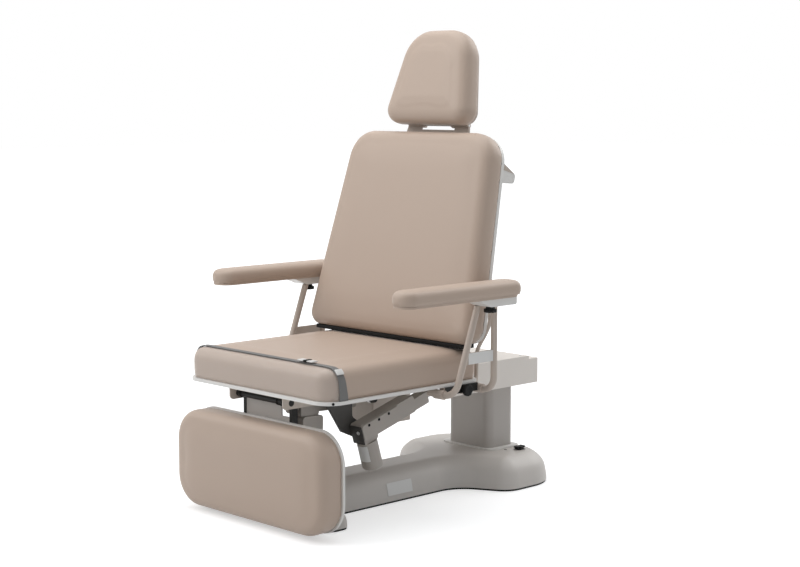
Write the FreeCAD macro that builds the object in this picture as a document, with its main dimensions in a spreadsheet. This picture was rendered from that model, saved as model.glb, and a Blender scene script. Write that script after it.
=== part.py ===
import FreeCAD, Part
import math
import os
import re
import Sketcher

# Procedure chair with a lifting column, a reclining back and a folding leg rest.
# +Z is up, the sitter faces -Y and the sitter's left is +X.
# The origin is on the floor, on the axis of the lifting column. All sizes are in millimetres.

Vector = FreeCAD.Vector
doc = FreeCAD.newDocument("procedure_chair")

# Driving dimensions
dimensions = {
    # seat
    "seat_width": 660, "seat_depth": 618, "seat_setback": 356, "seat_height": 402, "seat_gauge": 10,
    "seat_pad": 96, "seat_corner": 60, "seat_rear_corner": 25, "pad_edge": 36, "pad_crown": 5,
    # clear guard over the front of the seat pad
    "guard_reach": 62, "guard_lean": 20, "band_lean": 8, "guard_gauge": 1.2, "guard_gap": 0.5,
    "band_width": 20, "band_gauge": 1.5,
    # seat frame, a folded channel
    "frame_width": 248, "frame_drop": 38, "frame_gauge": 4, "frame_front_inset": 12, "frame_nose": 14,
    # lifting column
    "column_width": 190, "column_length": 125, "column_corner": 28, "column_wall": 4, "column_gap": 0.3,
    "stage_foot": 8, "stage_floor": 8, "screw_radius": 8, "guide_radius": 15,
    # box on top of the column
    "head_rise": 2, "head_corner": 8, "head_width": 300, "head_front": 303, "head_rear": 119,
    "head_height": 92, "head_wall": 4,
    "lid_depth": 14, "rear_cover_length": 49, "rear_cover_gauge": 3,
    # base
    "base_plate_gauge": 6, "base_height": 100, "stem_width": 206, "stem_front": 795, "lobe_width": 526,
    "lobe_front": 142, "lobe_rear": 128, "stem_blend": 225, "blend_radius": 110, "lobe_radius": 75,
    "lobe_rear_radius": 151, "foot_width": 480, "foot_front": 890, "foot_rear": 800, "foot_height": 45,
    "foot_corner": 34, "stem_corner": 30, "plate_inset": 2, "link_width": 126,
    "link_length": 80,
    "trim_width": 236, "trim_length": 144, "trim_gauge": 4,
    "pedal_x": 158, "pedal_y": 18, "pedal_length": 38, "pedal_width": 17, "pedal_pin_height": 7,
    "pedal_axle": 2,
    "pedal_floor": 1.5, "ear_gauge": 4,
    # back
    "recline": 14.5, "hinge_setback": 402, "hinge_drop": 30, "back_shaft_radius": 12,
    "back_shaft_length": 616,
    "back_face": 92, "back_pad": 73, "back_gauge": 12, "back_bottom": 135, "back_length": 645,
    "back_width": 740, "back_top_width": 620, "back_top_corner": 95, "back_low_corner": 45,
    "pad_overhang": 4,
    "arm_bar_spacing": 602, "arm_bar_gauge": 10, "arm_bar_width": 16, "arm_bar_gap": 5, "arm_bar_bow": 44,
    "arm_bar_low": 238, "arm_bar_high": 278,
    "handle_height": 672, "handle_reach": 77, "handle_inset": 14, "cheek_gauge": 12, "cheek_height": 72,
    "grip_radius": 11,
    # head rest
    "channel_width": 76, "channel_depth": 16, "channel_length": 220, "channel_top": 12, "channel_wall": 4,
    "stem_bar_gauge": 8,
    "fork_width": 278, "fork_gap": 150, "fork_depth": 18, "tilt_height": 814, "tilt_pin_radius": 4,
    "head_board_gauge": 8, "head_pad": 68, "head_face": 88, "head_pad_bottom": 809, "head_pad_length": 297,
    "head_pad_width": 370, "head_pad_top_width": 250, "head_pad_corner": 105, "head_pad_low_corner": 42,
    # back actuator
    "actuator_x": 160, "actuator_setback": 677, "actuator_drop": 144, "actuator_pin_radius": 8,
    "lever_radius": 70, "lever_angle": -5, "back_travel": 62, "link_pin_radius": 5, "eye_bore": 10.6,
    "eye_radius": 16, "eye_gauge": 14, "lever_gauge": 5, "lever_gap": 22, "rod_radius": 10, "rod_neck": 30,
    "rod_start": 150,
    "tube_side": 36, "tube_corner": 5, "tube_start": 70, "tube_end": 262, "gearbox_width": 46,
    "gearbox_half": 30, "gearbox_high": 34, "gearbox_length": 200,
    "gearbox_corner": 10, "motor_width": 60, "motor_depth": 60,
    "motor_length": 90, "motor_start": 29, "motor_corner": 26, "motor_foot": 12, "cover_gauge": 5,
    # leg rest
    "leg_hinge_inset": 44, "leg_shaft_radius": 10, "leg_rail_spacing": 212, "leg_rail_width": 12,
    "leg_rail_depth": 22, "leg_rail_foot": 60, "leg_panel_drop": 77, "leg_panel_rise": 35,
    "leg_panel_notch": 63, "leg_panel_gauge": 4, "leg_board_gauge": 8,
    "leg_pad": 87, "leg_pad_width": 680, "leg_pad_drop": 92, "leg_pad_bottom": 12, "leg_pad_corner": 95,
    "leg_pad_edge": 30,
    # leg actuator
    "leg_drive_x": 80, "leg_drive_setback": 575, "leg_drive_drop": 67, "leg_lever_radius": 40,
    "leg_lever_angle": -30, "leg_travel": 90, "leg_eye_bore": 11.8, "leg_eye_radius": 16.5,
    "leg_rod_radius": 8,
    "leg_tube_side": 32, "leg_tube_length": 150, "leg_gearbox_length": 70, "leg_motor_length": 105,
    "leg_motor_depth": 78, "leg_drive_width": 36, "leg_motor_width": 48, "leg_gear_low": 20,
    "leg_gear_high": 26,
    "leg_mount_half": 24,
    "leg_mount_foot": 14, "leg_mount_gauge": 5, "leg_mount_gap": 16, "leg_mount_pin": 6,
    # control box
    "control_length": 165, "control_rear": 365, "control_drop": 119, "control_side": 40,
    # arm rests
    "arm_leg_x": 390, "arm_tube_radius": 10, "arm_bend": 40, "prong_drop": 29, "arm_rear_leg": 359,
    "arm_front_foot": 526, "arm_front_top": 431, "arm_rise": 234, "front_prong_end": 282,
    "rear_prong_end": 314,
    "sleeve_start": 309, "sleeve_end": 346, "sleeve_wall": 4, "clamp_rail_width": 22,
    "clamp_rail_height": 24,
    "clamp_knob_y": 430, "clamp_knob_radius": 18, "clamp_knob_length": 19, "clamp_stud_radius": 5,
    "clamp_inset": 10, "clamp_drop": 15,
    "gusset_rise": 61, "gusset_height": 35, "gusset_gauge": 4,
    "arm_pad_x": 412, "arm_pad_front": 787, "arm_pad_rear": 297, "arm_pad_width": 90, "arm_pad": 43,
    "arm_pad_edge": 22, "arm_pad_crown": 2,
    "arm_pad_corner": 44, "arm_board_gauge": 6, "arm_plate_front": 478, "arm_plate_depth": 23,
    "arm_plate_width": 66, "arm_plate_taper": 46, "arm_plate_inset": 22, "swivel_y": 400,
    "swivel_radius": 6,
    "pad_knob_radius": 19,
    "pad_knob_neck": 14, "pad_knob_height": 18, "pad_knob_collar": 10,
    # clearances
    "running_gap": 0.05, "face_gap": 0.3, "part_gap": 1,
}

# Places that follow from them
derived = {
    "leg_hinge_setback": "seat_setback + seat_depth - leg_hinge_inset",
    "leg_pad_top": "seat_height - leg_pad_drop",
    "leg_panel_top": "seat_height - leg_panel_drop",
    "leg_panel_high": "seat_height - leg_panel_drop + leg_panel_rise",
    "leg_drive_height": "seat_height - leg_drive_drop",
    "actuator_height": "seat_height - actuator_drop",
    "handle_width": "back_top_width - 2 * handle_inset",
    "arm_height": "seat_height + arm_rise",
    "gusset_low": "seat_height + gusset_rise",
    "gusset_high": "seat_height + gusset_rise + gusset_height",
}

sheet = doc.addObject("Spreadsheet::Sheet", "Dims")
cells = [(alias, str(length)) for alias, length in dimensions.items()]
cells += [(alias, "=" + formula) for alias, formula in derived.items()]
for row, (alias, content) in enumerate(cells, start=1):
    sheet.set("A%d" % row, alias)
    sheet.set("B%d" % row, content)
    sheet.setAlias("B%d" % row, alias)
doc.recompute()
names = set(dimensions) | set(derived)


def size(alias):
    return float(sheet.get(alias))


def bind(item, prop, formula):
    """Ties a property to the sheet: each alias in the formula becomes a reference to its cell."""
    def cell(match):
        word = match.group(0)
        return "Dims." + word if word in names else word

    item.setExpression(prop, re.sub(r"[a-z][a-z_]+", cell, formula))


finished = {}


def finish(label, item):
    item.Label = label
    finished[label] = item
    return item


# Building blocks
def box(name, x0, x1, y0, y1, z0, z1):
    item = doc.addObject("Part::Box", name)
    for side, low, high in (("Length", x0, x1), ("Width", y0, y1), ("Height", z0, z1)):
        bind(item, side, "(%s) - (%s)" % (high, low))
    for axis, low in (("x", x0), ("y", y0), ("z", z0)):
        bind(item, "Placement.Base." + axis, low)
    return item


turns = {"X": FreeCAD.Rotation(Vector(0, 1, 0), 90), "Z": FreeCAD.Rotation()}


def rod(name, axis, start, radius, length):
    item = doc.addObject("Part::Cylinder", name)
    item.Placement.Rotation = turns[axis]
    bind(item, "Radius", radius)
    bind(item, "Height", length)
    for direction, place in zip("xyz", start):
        bind(item, "Placement.Base." + direction, place)
    return item


def fuse(name, items):
    item = doc.addObject("Part::MultiFuse", name)
    item.Shapes = items
    item.Refine = True
    return item


def cut(name, base, tool):
    item = doc.addObject("Part::Cut", name)
    item.Base = base
    item.Tool = tool
    return item


def outline(sketch, corners):
    first = sketch.GeometryCount
    count = len(corners)
    for i in range(count):
        angle = 2 * math.pi * i / count
        following = 2 * math.pi * (i + 1) / count
        start = Vector(math.cos(angle), math.sin(angle), 0)
        end = Vector(math.cos(following), math.sin(following), 0)
        sketch.addGeometry(Part.LineSegment(start, end), False)
    for i in range(count):
        sketch.addConstraint(Sketcher.Constraint("Coincident", first + i, 2, first + (i + 1) % count, 1))
    for i, (across, up) in enumerate(corners):
        for kind, formula in (("DistanceX", across), ("DistanceY", up)):
            index = sketch.addConstraint(Sketcher.Constraint(kind, -1, 1, first + i, 1, 1.0))
            bind(sketch, "Constraints[%d]" % index, formula)


def circle(sketch, across, up, radius):
    index = sketch.addGeometry(Part.Circle(Vector(0, 0, 0), Vector(0, 0, 1), 1.0), False)
    bind(sketch, "Constraints[%d]" % sketch.addConstraint(Sketcher.Constraint("Radius", index, 1.0)),
         radius)
    for kind, formula in (("DistanceX", across), ("DistanceY", up)):
        place = sketch.addConstraint(Sketcher.Constraint(kind, -1, 1, index, 3, 1.0))
        bind(sketch, "Constraints[%d]" % place, formula)


def sketch_on(body, name, plane, start):
    sketch = body.newObject("Sketcher::SketchObject", name)
    support = [item for item in body.Origin.OriginFeatures if item.Role == plane + "_Plane"][0]
    sketch.AttachmentSupport = [(support, "")]
    sketch.MapMode = "FlatFace"
    bind(sketch, "AttachmentOffset.Base.z", start)
    return sketch


def round_corners(body, base, sketch, corners, radius):
    places = [sketch.Placement.multVec(sketch.Geometry[i].StartPoint) for i in corners]
    normal = sketch.Placement.Rotation.multVec(Vector(0, 0, 1))
    names = []
    for number, edge in enumerate(base.Shape.Edges, start=1):
        along = edge.Vertexes[-1].Point - edge.Vertexes[0].Point
        if len(edge.Vertexes) == 2 and along.cross(normal).Length < 1e-6:
            middle = edge.Vertexes[0].Point
            if any((middle - place).cross(normal).Length < 1e-3 for place in places):
                names.append("Edge%d" % number)
    rounding = body.newObject("PartDesign::Fillet", body.Name + "_round")
    rounding.Base = (base, names)
    bind(rounding, "Radius", radius)
    doc.recompute()
    return rounding


def plate(name, plane, loops, start, depth, rounds=(), holes=()):
    """A padded sketch: loops of corner formulas, rounded corners and round holes."""
    body = doc.addObject("PartDesign::Body", name)
    sketch = sketch_on(body, name + "_sketch", plane, start)
    for corners in loops:
        outline(sketch, corners)
    for across, up, radius in holes:
        circle(sketch, across, up, radius)
    pad = body.newObject("PartDesign::Pad", name + "_pad")
    pad.Profile = sketch
    bind(pad, "Length", depth)
    doc.recompute()
    last = pad
    for corners, radius in rounds:
        last = round_corners(body, last, sketch, corners, radius)
    return body


def pocket(body, name, plane, start, depth, loops=(), holes=(), both_ways=False):
    before = body.Shape.Volume
    sketch = sketch_on(body, name + "_sketch", plane, start)
    for corners in loops:
        outline(sketch, corners)
    for across, up, radius in holes:
        circle(sketch, across, up, radius)
    removed = body.newObject("PartDesign::Pocket", name)
    removed.Profile = sketch
    removed.Midplane = both_ways
    bind(removed, "Length", depth)
    doc.recompute()
    if not body.Shape.Volume < before:
        raise RuntimeError(name + " removes nothing")
    return removed


def rectangle(x0, x1, y0, y1):
    return [(x0, y0), (x1, y0), (x1, y1), (x0, y1)]


def feature(name, shape):
    item = doc.addObject("Part::Feature", name)
    item.Shape = shape
    return item


def lean(item):
    """Turns a piece drawn upright about the back hinge to the resting angle of the back."""
    item.Placement = FreeCAD.Placement(Vector(0, 0, 0), FreeCAD.Rotation(Vector(1, 0, 0), -1))
    bind(item, "Placement.Rotation.Angle", "-recline")
    bind(item, "Placement.Base.y", "-hinge_setback")
    bind(item, "Placement.Base.z", "seat_height - hinge_drop")
    return item


# Rounded outlines and crowned solids
def inset(corners, depth):
    """Moves each side of a counter-clockwise outline inwards."""
    count = len(corners)
    moved = []
    for i in range(count):
        before, here, after = corners[i - 1], corners[i], corners[(i + 1) % count]
        lead = Vector(here[0] - before[0], here[1] - before[1], 0).normalize()
        follow = Vector(after[0] - here[0], after[1] - here[1], 0).normalize()
        turn = lead.x * follow.y - lead.y * follow.x
        bisector = Vector(-lead.y - follow.y, lead.x + follow.x, 0)
        step = depth * 2 / bisector.dot(bisector)
        radius = here[2] - math.copysign(depth, turn)
        moved.append((here[0] + bisector.x * step, here[1] + bisector.y * step, max(radius, 2.0)))
    return moved


def rounded_wire(corners, level):
    """Lines joined by tangent arcs, one arc at each corner."""
    count = len(corners)
    arcs = []
    for i in range(count):
        before, here, after = corners[i - 1], corners[i], corners[(i + 1) % count]
        point = Vector(here[0], here[1], level)
        back = (Vector(before[0], before[1], level) - point).normalize()
        on = (Vector(after[0], after[1], level) - point).normalize()
        half = math.acos(max(-1.0, min(1.0, back.dot(on)))) / 2
        reach = here[2] / math.tan(half)
        middle = point + (back + on).normalize() * (here[2] / math.sin(half) - here[2])
        arcs.append((point + back * reach, middle, point + on * reach))
    edges = []
    for i in range(count):
        edges.append(Part.Arc(*arcs[i]).toShape())
        edges.append(Part.LineSegment(arcs[i][2], arcs[(i + 1) % count][0]).toShape())
    return Part.Wire(edges)


def crowned(levels):
    """A smooth solid through rounded outlines, each at its own level."""
    return Part.makeLoft([rounded_wire(corners, level) for level, corners in levels], True, False, False, 3)


def pad_levels(corners, depth, edge, crown, spread):
    """Levels of a stuffed pad: sides drawn in at the foot, a round edge and a crowned face."""
    side = depth - edge - crown
    steps = [(0, 3), (side * 0.4, 0.4), (side, 0)]
    for angle in (30, 55, 75):
        turn = math.radians(angle)
        steps.append((side + edge * math.sin(turn), edge * (1 - math.cos(turn))))
    steps.append((depth - crown * 0.5, edge * 1.1 + spread * 0.35))
    steps.append((depth, edge * 1.1 + spread))
    return [(level, inset(corners, depth_in)) for level, depth_in in steps]


# Places that several pieces share
seat_front = "-(seat_setback + seat_depth)"
plate_low = "seat_height - seat_gauge"
hinge_height = "seat_height - hinge_drop"
flange_low = "seat_height - seat_gauge - frame_drop"
head_low = "seat_height + head_rise - head_height"
half_frame = "frame_width / 2"

hinge = Vector(0, -size("hinge_setback"), size("seat_height") - size("hinge_drop"))
lean_back = FreeCAD.Placement(hinge, FreeCAD.Rotation(Vector(1, 0, 0), -size("recline")))


# Base
def base_outline():
    stem = size("stem_width") / 2
    lobe = size("lobe_width") / 2
    right = [
        (stem, -size("stem_front"), size("stem_corner")),
        (stem, -size("stem_blend"), size("blend_radius")),
        (lobe, -size("lobe_front"), size("lobe_radius")),
        (lobe, size("lobe_rear"), size("lobe_rear_radius")),
    ]
    return right + [(-x, y, radius) for x, y, radius in reversed(right)]


def base_cover():
    """A moulded T-shaped cover whose stem flows into two rounded lobes."""
    shape = base_outline()
    floor = size("base_plate_gauge")
    rise = size("base_height") - floor
    steps = [(0, 0), (0.3, 3), (0.5, 7), (0.63, 12), (0.75, 21), (0.87, 34), (0.96, 48), (1.0, 64)]
    solid = crowned([(floor + rise * part, inset(shape, depth)) for part, depth in steps])
    half_x = size("column_width") / 2 + size("part_gap")
    half_y = size("column_length") / 2 + size("part_gap")
    well = Part.makeBox(2 * half_x, 2 * half_y, rise + 2, Vector(-half_x, -half_y, floor - 1))
    return solid.cut(well)


def foot_cover():
    half = size("foot_width") / 2
    front, rear, corner = -size("foot_front"), -size("foot_rear"), size("foot_corner")
    shape = [(-half, front, corner), (half, front, corner), (half, rear, corner), (-half, rear, corner)]
    floor = size("base_plate_gauge")
    rise = size("foot_height") - floor
    steps = [(0, 0), (0.5, 2), (0.85, 8), (1.0, 18)]
    return crowned([(floor + rise * part, inset(shape, depth)) for part, depth in steps])


def base_plate():
    """The floor plate follows the cover and the front foot, a little inside their edges."""
    gauge, edge = size("base_plate_gauge"), size("plate_inset")
    stem = Part.Face(rounded_wire(inset(base_outline(), edge), 0)).extrude(Vector(0, 0, gauge))
    half, corner = size("foot_width") / 2 - edge, size("foot_corner") - edge
    front, rear = -size("foot_front") + edge, -size("foot_rear") - edge
    bar = [(-half, front, corner), (half, front, corner), (half, rear, corner), (-half, rear, corner)]
    foot = Part.Face(rounded_wire(bar, 0)).extrude(Vector(0, 0, gauge))
    neck, link_length = size("link_width") / 2, size("link_length")
    link = Part.makeBox(2 * neck, link_length, gauge, Vector(-neck, rear - link_length / 2, 0))
    return stem.fuse([foot, link]).removeSplitter()


finish("base_plate", feature("base_plate", base_plate()))
finish("base_cover", feature("base_cover", base_cover()))
finish("front_foot_cover", feature("front_foot_cover", foot_cover()))


def stage(name, shrink, low, high):
    """One tube of the lifting column, smaller than the outermost by a shrink on each face."""
    half_x, half_y = "column_width / 2 - (%s)" % shrink, "column_length / 2 - (%s)" % shrink
    wall = "column_wall"
    outer = rectangle("-(%s)" % half_x, half_x, "-(%s)" % half_y, half_y)
    inner = rectangle("-(%s - %s)" % (half_x, wall), "%s - %s" % (half_x, wall),
                      "-(%s - %s)" % (half_y, wall), "%s - %s" % (half_y, wall))
    rounds = [((0, 1, 2, 3), "column_corner - (%s)" % shrink),
              ((4, 5, 6, 7), "column_corner - (%s) - %s" % (shrink, wall))]
    return plate(name, "XY", [outer, inner], low, "(%s) - (%s)" % (high, low), rounds)


column_top = head_low + " - part_gap"
step_in = "column_wall + column_gap"
middle_foot = "base_plate_gauge + stage_foot"
inner_foot = "base_plate_gauge + stage_foot + stage_floor + part_gap"
finish("column_outer", stage("column_outer", "0", "base_plate_gauge", column_top))
finish("column_middle", stage("column_middle", step_in, middle_foot + " + stage_floor", column_top))


def floor_plate(name, shrink, low, hole):
    half_x, half_y = "column_width / 2 - (%s)" % shrink, "column_length / 2 - (%s)" % shrink
    corners = rectangle("-(%s)" % half_x, half_x, "-(%s)" % half_y, half_y)
    return plate(name, "XY", [corners], low, "stage_floor",
                 [((0, 1, 2, 3), "column_corner - (%s)" % shrink)],
                 [("0", "0", hole)])


guide_floor = floor_plate("guide_floor", step_in, middle_foot, "screw_radius + running_gap")
guide_top = "(%s) - part_gap - (%s) - stage_floor" % (column_top, middle_foot)
guide_tube = rod("guide_tube", "Z", ("0", "0", middle_foot + " + stage_floor"), "guide_radius", guide_top)
guide_bore = rod("guide_bore", "Z", ("0", "0", middle_foot), "screw_radius + running_gap",
                 guide_top + " + stage_floor")
finish("lift_guide", cut("lift_guide", fuse("guide_joined", [guide_floor, guide_tube]), guide_bore))
screw_length = "(%s) - 2 * part_gap - base_plate_gauge" % column_top
finish("lift_screw", rod("lift_screw", "Z", ("0", "0", "base_plate_gauge"), "screw_radius", screw_length))

inner_tube = stage("inner_tube", "2 * (%s)" % step_in, inner_foot, head_low)
inner_floor = floor_plate("inner_floor", "2 * (%s)" % step_in, inner_foot, "guide_radius + running_gap")
finish("column_inner", fuse("column_inner", [inner_tube, inner_floor]))

trim_hole = rectangle("-column_width / 2 - face_gap", "column_width / 2 + face_gap",
                      "-column_length / 2 - face_gap", "column_length / 2 + face_gap")
trim_edge = rectangle("-trim_width / 2", "trim_width / 2", "-trim_length / 2", "trim_length / 2")
finish("column_trim", plate("column_trim", "XY", [trim_edge, trim_hole], "base_height", "trim_gauge",
                            [((0, 1, 2, 3), "column_corner"), ((4, 5, 6, 7), "column_corner")]))

# Foot control beside the column
pedal_low, pedal_high = "pedal_y - pedal_length / 2", "pedal_y + pedal_length / 2"
pedal_pin = "base_height + pedal_pin_height"
ear_out = "pedal_width / 2 + part_gap"
ear_low = "base_height + pedal_floor"
ear = [("pedal_y - 9", ear_low), ("pedal_y + 9", ear_low), ("pedal_y + 4", pedal_pin + " + 3.5"),
       ("pedal_y - 4", pedal_pin + " + 3.5")]
ears = [plate("pedal_ear_inner", "YZ", [ear], "pedal_x - (%s) - ear_gauge" % ear_out, "ear_gauge",
              [((2, 3), "3")]),
        plate("pedal_ear_outer", "YZ", [ear], "pedal_x + " + ear_out, "ear_gauge", [((2, 3), "3")])]
pedal_side = "(%s + ear_gauge)" % ear_out
pedal_floor = box("pedal_floor", "pedal_x - " + pedal_side, "pedal_x + " + pedal_side,
                  "pedal_y - 15", "pedal_y + 15", "base_height", ear_low)
pedal_axle = rod("pedal_axle", "X", ("pedal_x - " + pedal_side, "pedal_y", pedal_pin), "pedal_axle",
                 "2 * " + pedal_side)
finish("pedal_housing", fuse("pedal_housing", ears + [pedal_floor, pedal_axle]))
tip_low, tip_high = pedal_pin + " - 1.5", pedal_pin + " + 5"
rocker = [(pedal_low, pedal_pin + " + 1"), (pedal_low + " + 3", tip_low),
          ("pedal_y - 5", pedal_pin + " - 4"),
          ("pedal_y + 5", pedal_pin + " - 4"), (pedal_high + " - 3", tip_low),
          (pedal_high, pedal_pin + " + 1"),
          (pedal_high + " - 2", tip_high), ("pedal_y", pedal_pin + " + 3.5"),
          (pedal_low + " + 2", tip_high)]
finish("foot_pedal", plate("foot_pedal", "YZ", [rocker], "pedal_x - pedal_width / 2", "pedal_width",
                           [((6, 8), "1.5")], [("pedal_y", pedal_pin, "pedal_axle + running_gap")]))

# Box on the column, open at the top under its lids
half_head = "head_width / 2"
head_wall_top = "seat_height + head_rise - lid_depth"
head = plate("head_box", "XY", [rectangle("-" + half_head, half_head, "-head_front", "head_rear")],
             head_low,
             "(%s) - (%s)" % (head_wall_top, head_low), [((0, 1, 2, 3), "head_corner")])
pocket(head, "head_hollow", "XY", head_wall_top, "head_height - lid_depth - head_wall",
       [rectangle("-(%s - head_wall)" % half_head, half_head + " - head_wall", "-head_front + head_wall",
                  "head_rear - head_wall")])
finish("head_box", head)
lid_rear = "head_rear - rear_cover_length"
lid = plate("head_lid", "XY", [rectangle("-" + half_head, half_head, "-head_front", lid_rear)],
            head_wall_top,
            "lid_depth", [((0, 1), "head_corner")])
pocket_lid = sketch_on(lid, "lid_hollow_sketch", "XY", head_wall_top)
outline(pocket_lid, rectangle("-(%s - head_wall)" % half_head, half_head + " - head_wall",
                              "-head_front + head_wall", lid_rear + " - head_wall"))
hollow = lid.newObject("PartDesign::Pocket", "lid_hollow")
hollow.Profile = pocket_lid
hollow.Reversed = True
bind(hollow, "Length", "lid_depth - head_wall")
finish("head_lid", lid)
finish("head_rear_cover", plate("head_rear_cover", "XY",
                                [rectangle("-" + half_head, half_head, lid_rear, "head_rear")],
                                head_wall_top,
                                "rear_cover_gauge", [((2, 3), "head_corner")]))

# Seat frame, plate and pad
half_inside = "frame_width / 2 - frame_gauge"
channel = [("-" + half_frame, flange_low), ("-(%s)" % half_inside, flange_low),
           ("-(%s)" % half_inside, plate_low + " - frame_gauge"),
           (half_inside, plate_low + " - frame_gauge"),
           (half_inside, flange_low), (half_frame, flange_low), (half_frame, plate_low),
           ("-" + half_frame, plate_low)]
frame_length = "seat_setback + seat_depth - frame_front_inset - head_front"
frame = plate("seat_frame", "XZ", [channel], "head_front", frame_length)
pocket(frame, "frame_bores", "YZ", "0", "frame_width + 10", both_ways=True,
       holes=[("-hinge_setback", hinge_height, "back_shaft_radius + running_gap"),
              ("-leg_hinge_setback", hinge_height, "leg_shaft_radius + running_gap")])
nose_y = -(size("seat_setback") + size("seat_depth") - size("frame_front_inset"))
nose_z = size("seat_height") - size("seat_gauge") - size("frame_drop")
nose_edges = []
for number, edge in enumerate(frame.Shape.Edges, start=1):
    centre = edge.CenterOfMass
    if abs(centre.y - nose_y) < 1e-3 and abs(centre.z - nose_z) < 1e-3:
        nose_edges.append("Edge%d" % number)
bored_frame = frame.Tip
nose = frame.newObject("PartDesign::Fillet", "frame_nose_round")
nose.Base = (bored_frame, nose_edges)
bind(nose, "Radius", "frame_nose")
finish("seat_frame", frame)

half_seat = "seat_width / 2"
finish("seat_plate", plate("seat_plate", "XY", [rectangle("-" + half_seat, half_seat, seat_front,
                                                          "-seat_setback")],
                           plate_low, "seat_gauge",
                           [((0, 1), "seat_corner"), ((2, 3), "seat_rear_corner")]))


def seat_outline(grow):
    half = size("seat_width") / 2 - size("pad_overhang")
    front = -(size("seat_setback") + size("seat_depth")) + size("pad_overhang")
    rear = -size("seat_setback") - size("pad_overhang")
    corner, tail = size("seat_corner"), size("seat_rear_corner")
    shape = [(-half, front, corner), (half, front, corner), (half, rear, tail), (-half, rear, tail)]
    return inset(shape, -grow)


def seat_pad(grow):
    depth = size("seat_pad") + grow
    levels = pad_levels(seat_outline(grow), depth, size("pad_edge") + grow, size("pad_crown"), 90)
    return crowned([(size("seat_height") + level, corners) for level, corners in levels])


def seat_sleeve(inside, gauge, front, rear, front_lean, rear_lean):
    """A skin over the pad, between two distances from the seat's front that lean back down its sides."""
    skin = seat_pad(inside + gauge).cut(seat_pad(inside))
    edge = -(size("seat_setback") + size("seat_depth"))
    low, high = size("seat_height") + size("face_gap"), size("seat_height") + size("seat_pad")
    over, side = high + size("seat_pad"), -size("seat_width")
    corners = [Vector(side, edge + front + front_lean, low), Vector(side, edge + rear + rear_lean, low),
               Vector(side, edge + rear, high), Vector(side, edge + rear, over),
               Vector(side, edge + front, over), Vector(side, edge + front, high)]
    slab = Part.Face(Part.makePolygon(corners + corners[:1])).extrude(Vector(2 * size("seat_width"), 0, 0))
    return skin.common(slab)


finish("seat_cushion", feature("seat_cushion", seat_pad(0)))
guard_gap, guard_gauge = size("guard_gap"), size("guard_gauge")
guard = seat_sleeve(guard_gap, guard_gauge, -30, size("guard_reach"), 0, size("guard_lean"))
finish("seat_front_cover", feature("seat_front_cover", guard))
band_start = size("guard_reach") - size("band_width")
band = seat_sleeve(guard_gap + guard_gauge + size("face_gap"), size("band_gauge"), band_start,
                   size("guard_reach"), size("band_lean"), size("guard_lean"))
finish("cover_band", feature("cover_band", band))

# Back: shaft, side bars, panel, pad, handle and head rest channel
tilt = "tan(recline * 1 deg)"
stretch = "cos(recline * 1 deg)"
panel_rear = "(back_pad + back_gauge - back_face)"


def on_panel(rise):
    """Y of the panel's rear face at a height above the hinge."""
    return "-hinge_setback + (%s) * %s + %s / %s" % (rise, tilt, panel_rear, stretch)


bar_front = "-seat_setback + arm_bar_gap"
bar_rear = bar_front + " + arm_bar_width"
hub = "back_shaft_radius + 4"
knee = "seat_pad + hinge_drop - 10"
bow_low, bow_high = "arm_bar_low - 54", "arm_bar_low - 18"
bar_corners = [
    ("-hinge_setback - (%s)" % hub, "%s - (%s)" % (hinge_height, hub)),
    (bar_rear, "%s - (%s)" % (hinge_height, hub)),
    (bar_rear, "%s + %s" % (hinge_height, knee)),
    (bar_rear + " + arm_bar_bow", "%s + %s" % (hinge_height, bow_low)),
    (bar_rear + " + arm_bar_bow - 6", "%s + %s" % (hinge_height, bow_high)),
    (on_panel("arm_bar_high"), "%s + arm_bar_high" % hinge_height),
    (on_panel("arm_bar_low"), "%s + arm_bar_low" % hinge_height),
    (bar_front + " + arm_bar_bow - 8", "%s + %s - 10" % (hinge_height, bow_high)),
    (bar_front + " + arm_bar_bow - 2", "%s + %s + 2" % (hinge_height, bow_low)),
    (bar_front, "%s + %s + 6" % (hinge_height, knee)),
    (bar_front, "%s + (%s) - 2" % (hinge_height, hub)),
    ("-hinge_setback - (%s)" % hub, "%s + (%s) - 2" % (hinge_height, hub)),
]
for side, start in (("left", "arm_bar_spacing / 2 - arm_bar_gauge / 2"),
                    ("right", "-arm_bar_spacing / 2 - arm_bar_gauge / 2")):
    bar = plate("back_arm_" + side, "YZ", [bar_corners], start, "arm_bar_gauge",
                [((0, 11), "12"), ((1,), "14"), ((2, 9), "24"), ((3, 4, 7, 8), "12")],
                [("-hinge_setback", hinge_height, "back_shaft_radius + running_gap")])
    finish("back_arm_" + side, bar)

panel_half = "back_width / 2 - pad_overhang"
panel_top_half = "back_top_width / 2 - pad_overhang"
panel_low = "back_bottom + pad_overhang"
panel_high = "back_bottom + back_length - pad_overhang"
panel = plate("back_panel", "XZ", [[("-(%s)" % panel_half, panel_low), (panel_half, panel_low),
                                    (panel_top_half, panel_high), ("-(%s)" % panel_top_half, panel_high)]],
              "-" + panel_rear, "back_gauge",
              [((0, 1), "back_low_corner"), ((2, 3), "back_top_corner - pad_overhang")])
finish("back_panel", lean(panel))


def back_outline(drop):
    half, top_half = size("back_width") / 2, size("back_top_width") / 2
    low, high = size("back_bottom") - drop, size("back_bottom") + size("back_length")
    corner, top = size("back_low_corner"), size("back_top_corner")
    return [(-half, low, corner), (half, low, corner), (top_half, high, top), (-top_half, high, top)]


def upright(solid, rear):
    """Stands a solid drawn flat on its rear face, facing -Y, with its foot down."""
    solid.Placement = FreeCAD.Placement(Vector(0, rear, 0), FreeCAD.Rotation(Vector(1, 0, 0), 90))
    return solid


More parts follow.
